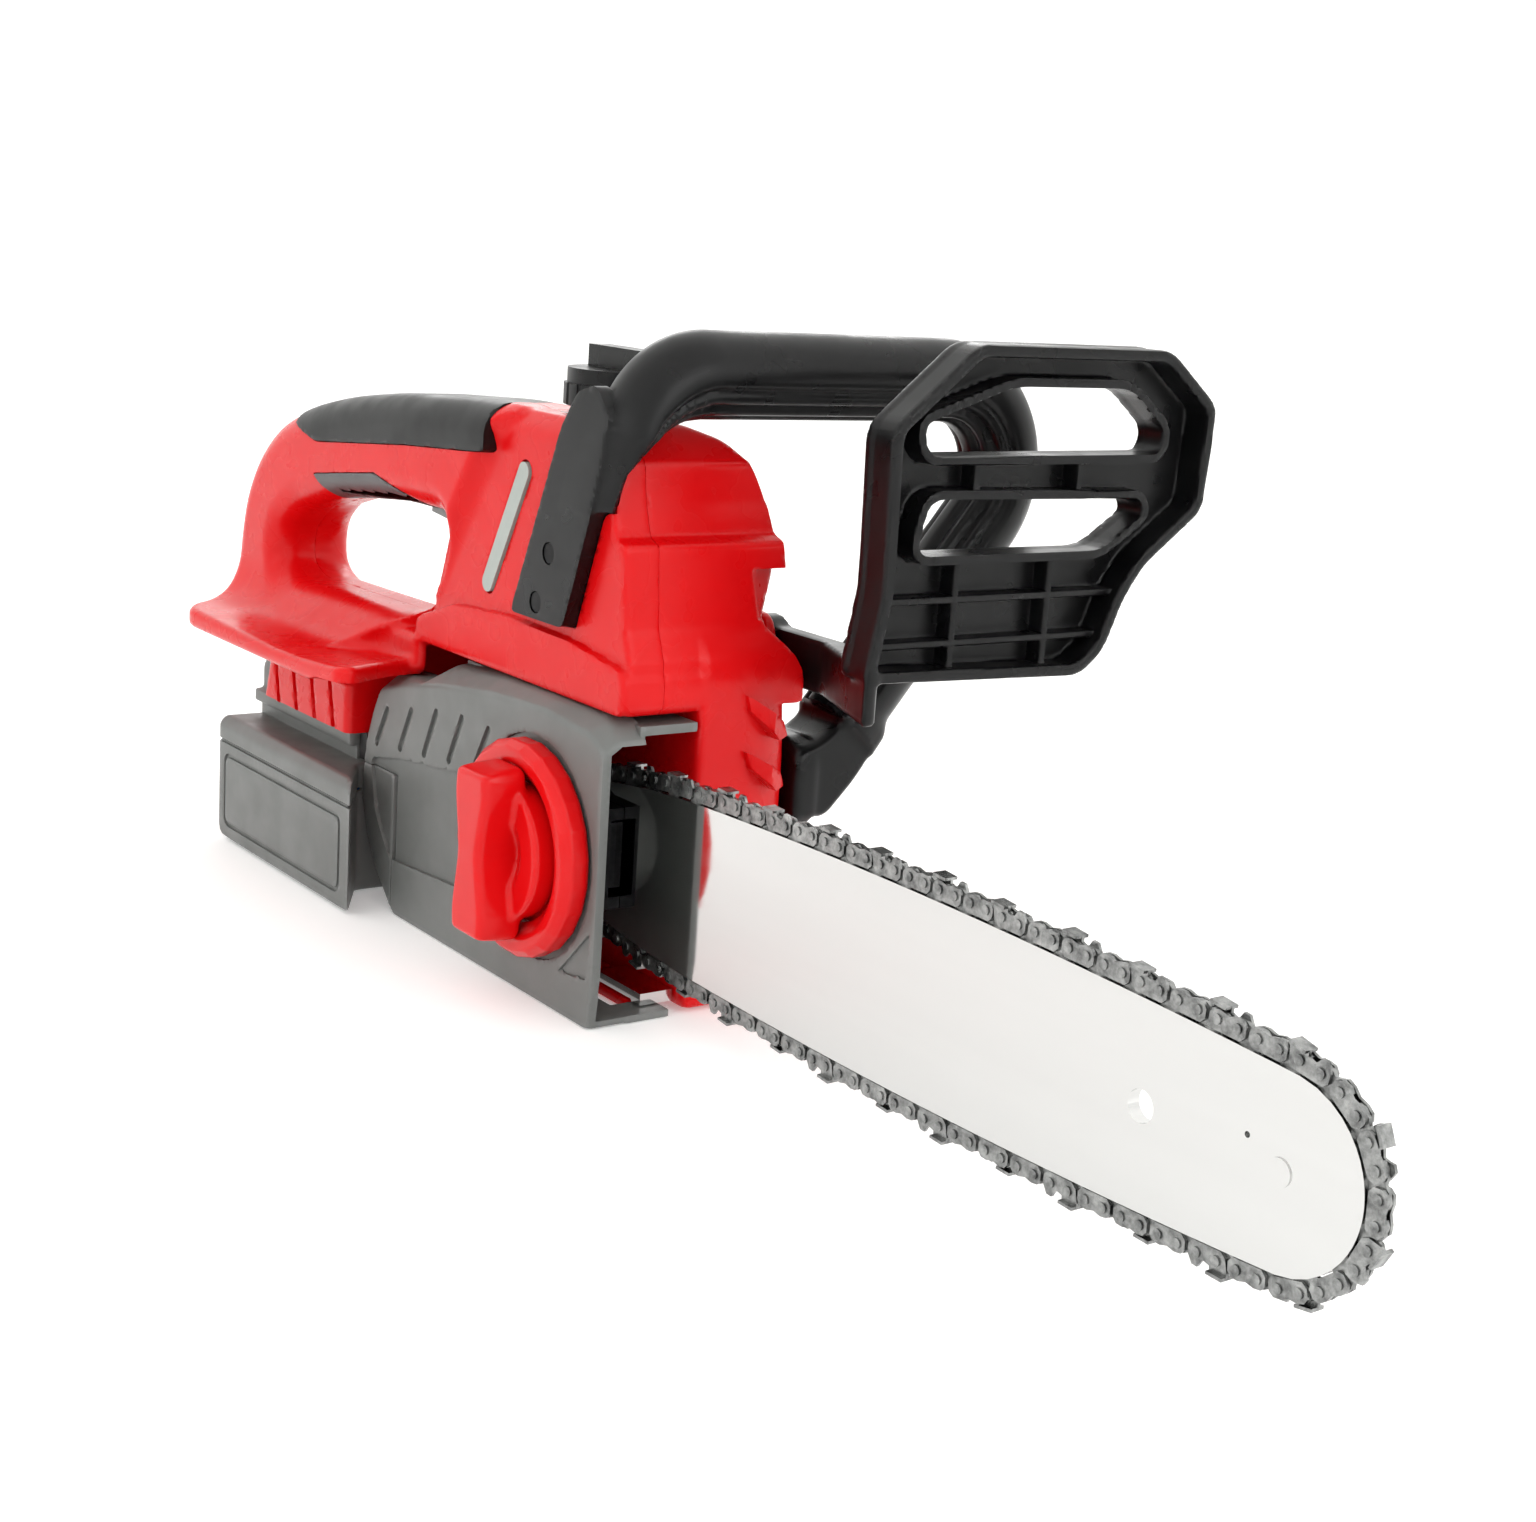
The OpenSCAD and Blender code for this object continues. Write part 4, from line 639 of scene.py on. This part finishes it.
ring = moulded("tension_ring_rim", ring_field, (16, -33, 13), (92, -12, 89), 0.8)
dress(ring, red_knob, "red_knob", "tension_ring", "tension_ring")


def knob_field(x, y, z):
    """A shallow dished disc on a hub, with a waisted grip whose sides slope away across it."""
    around = np.hypot(x - STUD_X, z - STUD_Z)
    disc = prism(around - 23, y, -34, -25, 2)
    disc = cut(disc, np.hypot(around, (y + 52) * 1.0) - 22.5, 1)
    waist = outline([(45, 22), (63, 22), (64.5, 30), (60, 51), (64.5, 72), (63, 80), (45, 80), (43.5, 72), (47, 51),
                     (43.5, 30)], x, z, 5)
    grip = meet(prism(waist, y, -46, -30, 2.5), (np.abs(x - STUD_X) - 9.5 - (y + 46) * 0.28) / 1.04, 1.5)
    grip = meet(grip, (np.abs(z - STUD_Z) - 27 - (y + 46) * 0.25) / 1.03, 1.5)
    shape = join(disc, grip, 2.5)
    shape = np.minimum(shape, prism(around - 10.6, y, -26, -10))
    shape = np.maximum(shape, -prism(around - 4.6, y, -25, -9))
    return np.maximum(shape, -prism(around - 8.2, y, -22.4, -9))


knob = moulded("lock_knob_grip", knob_field, (28, -48, 18), (80, -8, 84), 0.8)
dress(knob, red_knob, "red_knob", "lock_knob", "lock_knob")

# ---------------------------------------------------------------------------------------------
# Battery pack: two grey ABS-PC mouldings, a deep case and a lid with rails, slid in from behind.
SEAM_Z = 40.4
PLAN_LINE = [(-165, -38), (-46, -38), (-70.4, -23.2), (-70.4, 23.2), (-46, 38), (-165, 38)]


def pack_field(x, y, z):
    """A block over the plan, rounded below, with a sunk panel on each side, a groove round the lid and
    the rails and the latch housing on top."""
    side = np.abs(y)
    body = prism(outline(PLAN_LINE, x, y, 2.5), z, 0.6, 50, 2)
    body = meet(body, outline([(-165, 0.6), (-165, 49), (-163, 50.2), (-44, 50.2), (-44, 0.6)], x, z, 9), 1)
    body = meet(body, (side - 36.6 - (48 - z) * 0.9) / 1.35, 0.8)
    panel = outline([(-159, 6), (-54, 6), (-54, 36), (-159, 36)], x, z, 5)
    body = cut(body, np.maximum(np.maximum(panel, -panel - 1.6), 37 - side), 0.6)
    seam = np.maximum(np.abs(z - SEAM_Z) - 0.7, -outline(PLAN_LINE, x, y, 2.5) - 0.9)
    body = cut(body, seam, 0.5)
    rails = np.minimum(block(x, y, z, -164, -78, -20, 20, 46, 60, 1), block(x, y, z, -164, -78, -23, 23, 55, 60, 1))
    hump = prism(outline([(-164, 57), (-149, 57), (-149, 74), (-158, 76), (-164, 70)], x, z, 3), y, -20, 20, 2)
    body = np.minimum(body, join(rails, hump, 2))
    body = np.maximum(body, -block(x, y, z, -160.9, -151.1, -10.5, 10.5, 55, 80))
    cell_room = [(-163.2, -36), (-66, -36), (-71.8, -22), (-71.8, 22), (-66, 36), (-163.2, 36)]
    body = np.maximum(body, -prism(outline(cell_room, x, y), z, 3, 46))
    return np.maximum(body, -block(x, y, z, -160, -77, -17, 17, 44, 57.5))


case = moulded("battery_case_tub", lambda x, y, z: np.maximum(pack_field(x, y, z), z - SEAM_Z),
               (-168, -40, -1), (-44, 40, 42), 1.25)
dress(case, grey_nylon, "cover_grey", "battery", "battery_case")
lid = moulded("battery_lid_rails", lambda x, y, z: np.maximum(pack_field(x, y, z), SEAM_Z - z),
              (-168, -40, 38), (-44, 40, 79), 1.25)
dress(lid, grey_nylon, "cover_grey", "battery", "battery_lid")

# ---------------------------------------------------------------------------------------------
# Guide bar, chain and drive: hardened and ground steel, the chain riveted from stamped links.

# Ground steel: bright and mirror-like across the fine grinding lines that run along the bar.
bar_steel = finish("bar_steel_ground", ("#CDCDCC", "#D8D8D7"), (0.04, 0.09), 0.35, 0.0004, metallic=1.0, patch=60,
                   stretch=(0.03, 1, 1))
# Case-hardened chain steel: greyer, with a film of oil that darkens it in patches.
chain_steel = finish("chain_steel_oiled", ("#5E5F5F", "#A9AAA9"), (0.22, 0.4), 0.5, 0.008, metallic=1.0, patch=3)
# Zinc-plated and blackened screws.
screw_steel = finish("screw_steel_blackened", ("#161617", "#242425"), (0.3, 0.45), 0.4, 0.008, metallic=1.0,
                     patch=4)
# Turned steel of shafts and gears.
shaft_steel = finish("shaft_steel_turned", ("#8E9091", "#A3A5A6"), (0.2, 0.35), 0.3, 0.004, metallic=1.0, patch=12)

# ---------------------------------------------------------------------------------------------
# Parts inside and small parts keep their own meshes and take the finish of their material slot, except the adjuster
# plate, which takes the dark blackened screw steel as painted shade.
by_slot = {
    "red_abs": red_abs, "red_knob": red_knob, "cover_grey": grey_nylon, "glass_nylon": black_nylon,
    "soft_grip": soft_grip,
    "bar_steel": bar_steel, "chain_steel": chain_steel, "screw_steel": screw_steel, "shaft_steel": shaft_steel,
    # Nitrile rubber of the cap's seal: matt black.
    "seal_rubber": finish("seal_nitrile_rubber", ("#101010", "#181818"), (0.5, 0.65), 0.5, 0.01),
    # Acrylic of the oil window: pale, milky and glossy, so the oil behind it shows only as a level.
    "clear_window": finish("oil_window_milky_acrylic", ("#98A09A", "#ABB2AC"), (0.1, 0.2), 3.0, 0.004,
                           coat=0.2, specular=0.4),
    # Polythene of the blow-moulded oil tank: waxy off-white.
    "tank_plastic": finish("tank_polythene_blown", ("#CDCBBB", "#DAD8C9"), (0.4, 0.5), 2.0, 0.02),
    # Die-cast aluminium of the gearbox plate: grey, matt, slightly pitted.
    "gearbox_alloy": finish("gearbox_alloy_die_cast", ("#9A9C9E", "#B2B4B5"), (0.4, 0.55), 0.8, 0.02, metallic=1.0),
    # Enamelled copper windings.
    "motor_copper": finish("winding_enamelled_copper", ("#8A4A22", "#B0652F"), (0.2, 0.35), 0.8, 0.03,
                           metallic=1.0, patch=2),
    # Stacked electrical-steel sheets of the rotor.
    "motor_iron": finish("rotor_sheet_steel", ("#55585B", "#6B6E71"), (0.35, 0.5), 0.5, 0.01,
                         metallic=1.0, patch=4),
    # Solder mask on a glass-epoxy board.
    "board_green": finish("board_glass_epoxy", ("#1D5A2E", "#27703A"), (0.25, 0.35), 1.0, 0.01, coat=0.3, patch=6),
    # Shrink sleeve round each cell.
    "cell_blue": finish("cell_shrink_sleeve", ("#2C6CA6", "#3A7FBC"), (0.2, 0.3), 4.0, 0.01, coat=0.2),
    # Plated spring brass of the contacts.
    "contact_brass": finish("contact_plated_brass", ("#B98A33", "#CFA24A"), (0.18, 0.3), 0.5, 0.004,
                            metallic=1.0, patch=5),
}
for entry in frame["record"]["subparts"]:
    held = frame["nodes"][entry["node"]]
    if not held.hide_render:
        held.data.materials.clear()
        # Painted shade: the adjuster plate gets the dark blackened screw finish instead of its own slot's finish,
        # standing in for the shade and dark reflections in the cover's mouth.
        painted_shade_plate = entry["node"] == "adjuster_plate"
        held.data.materials.append(screw_steel if painted_shade_plate else by_slot[entry["material_slot"]])
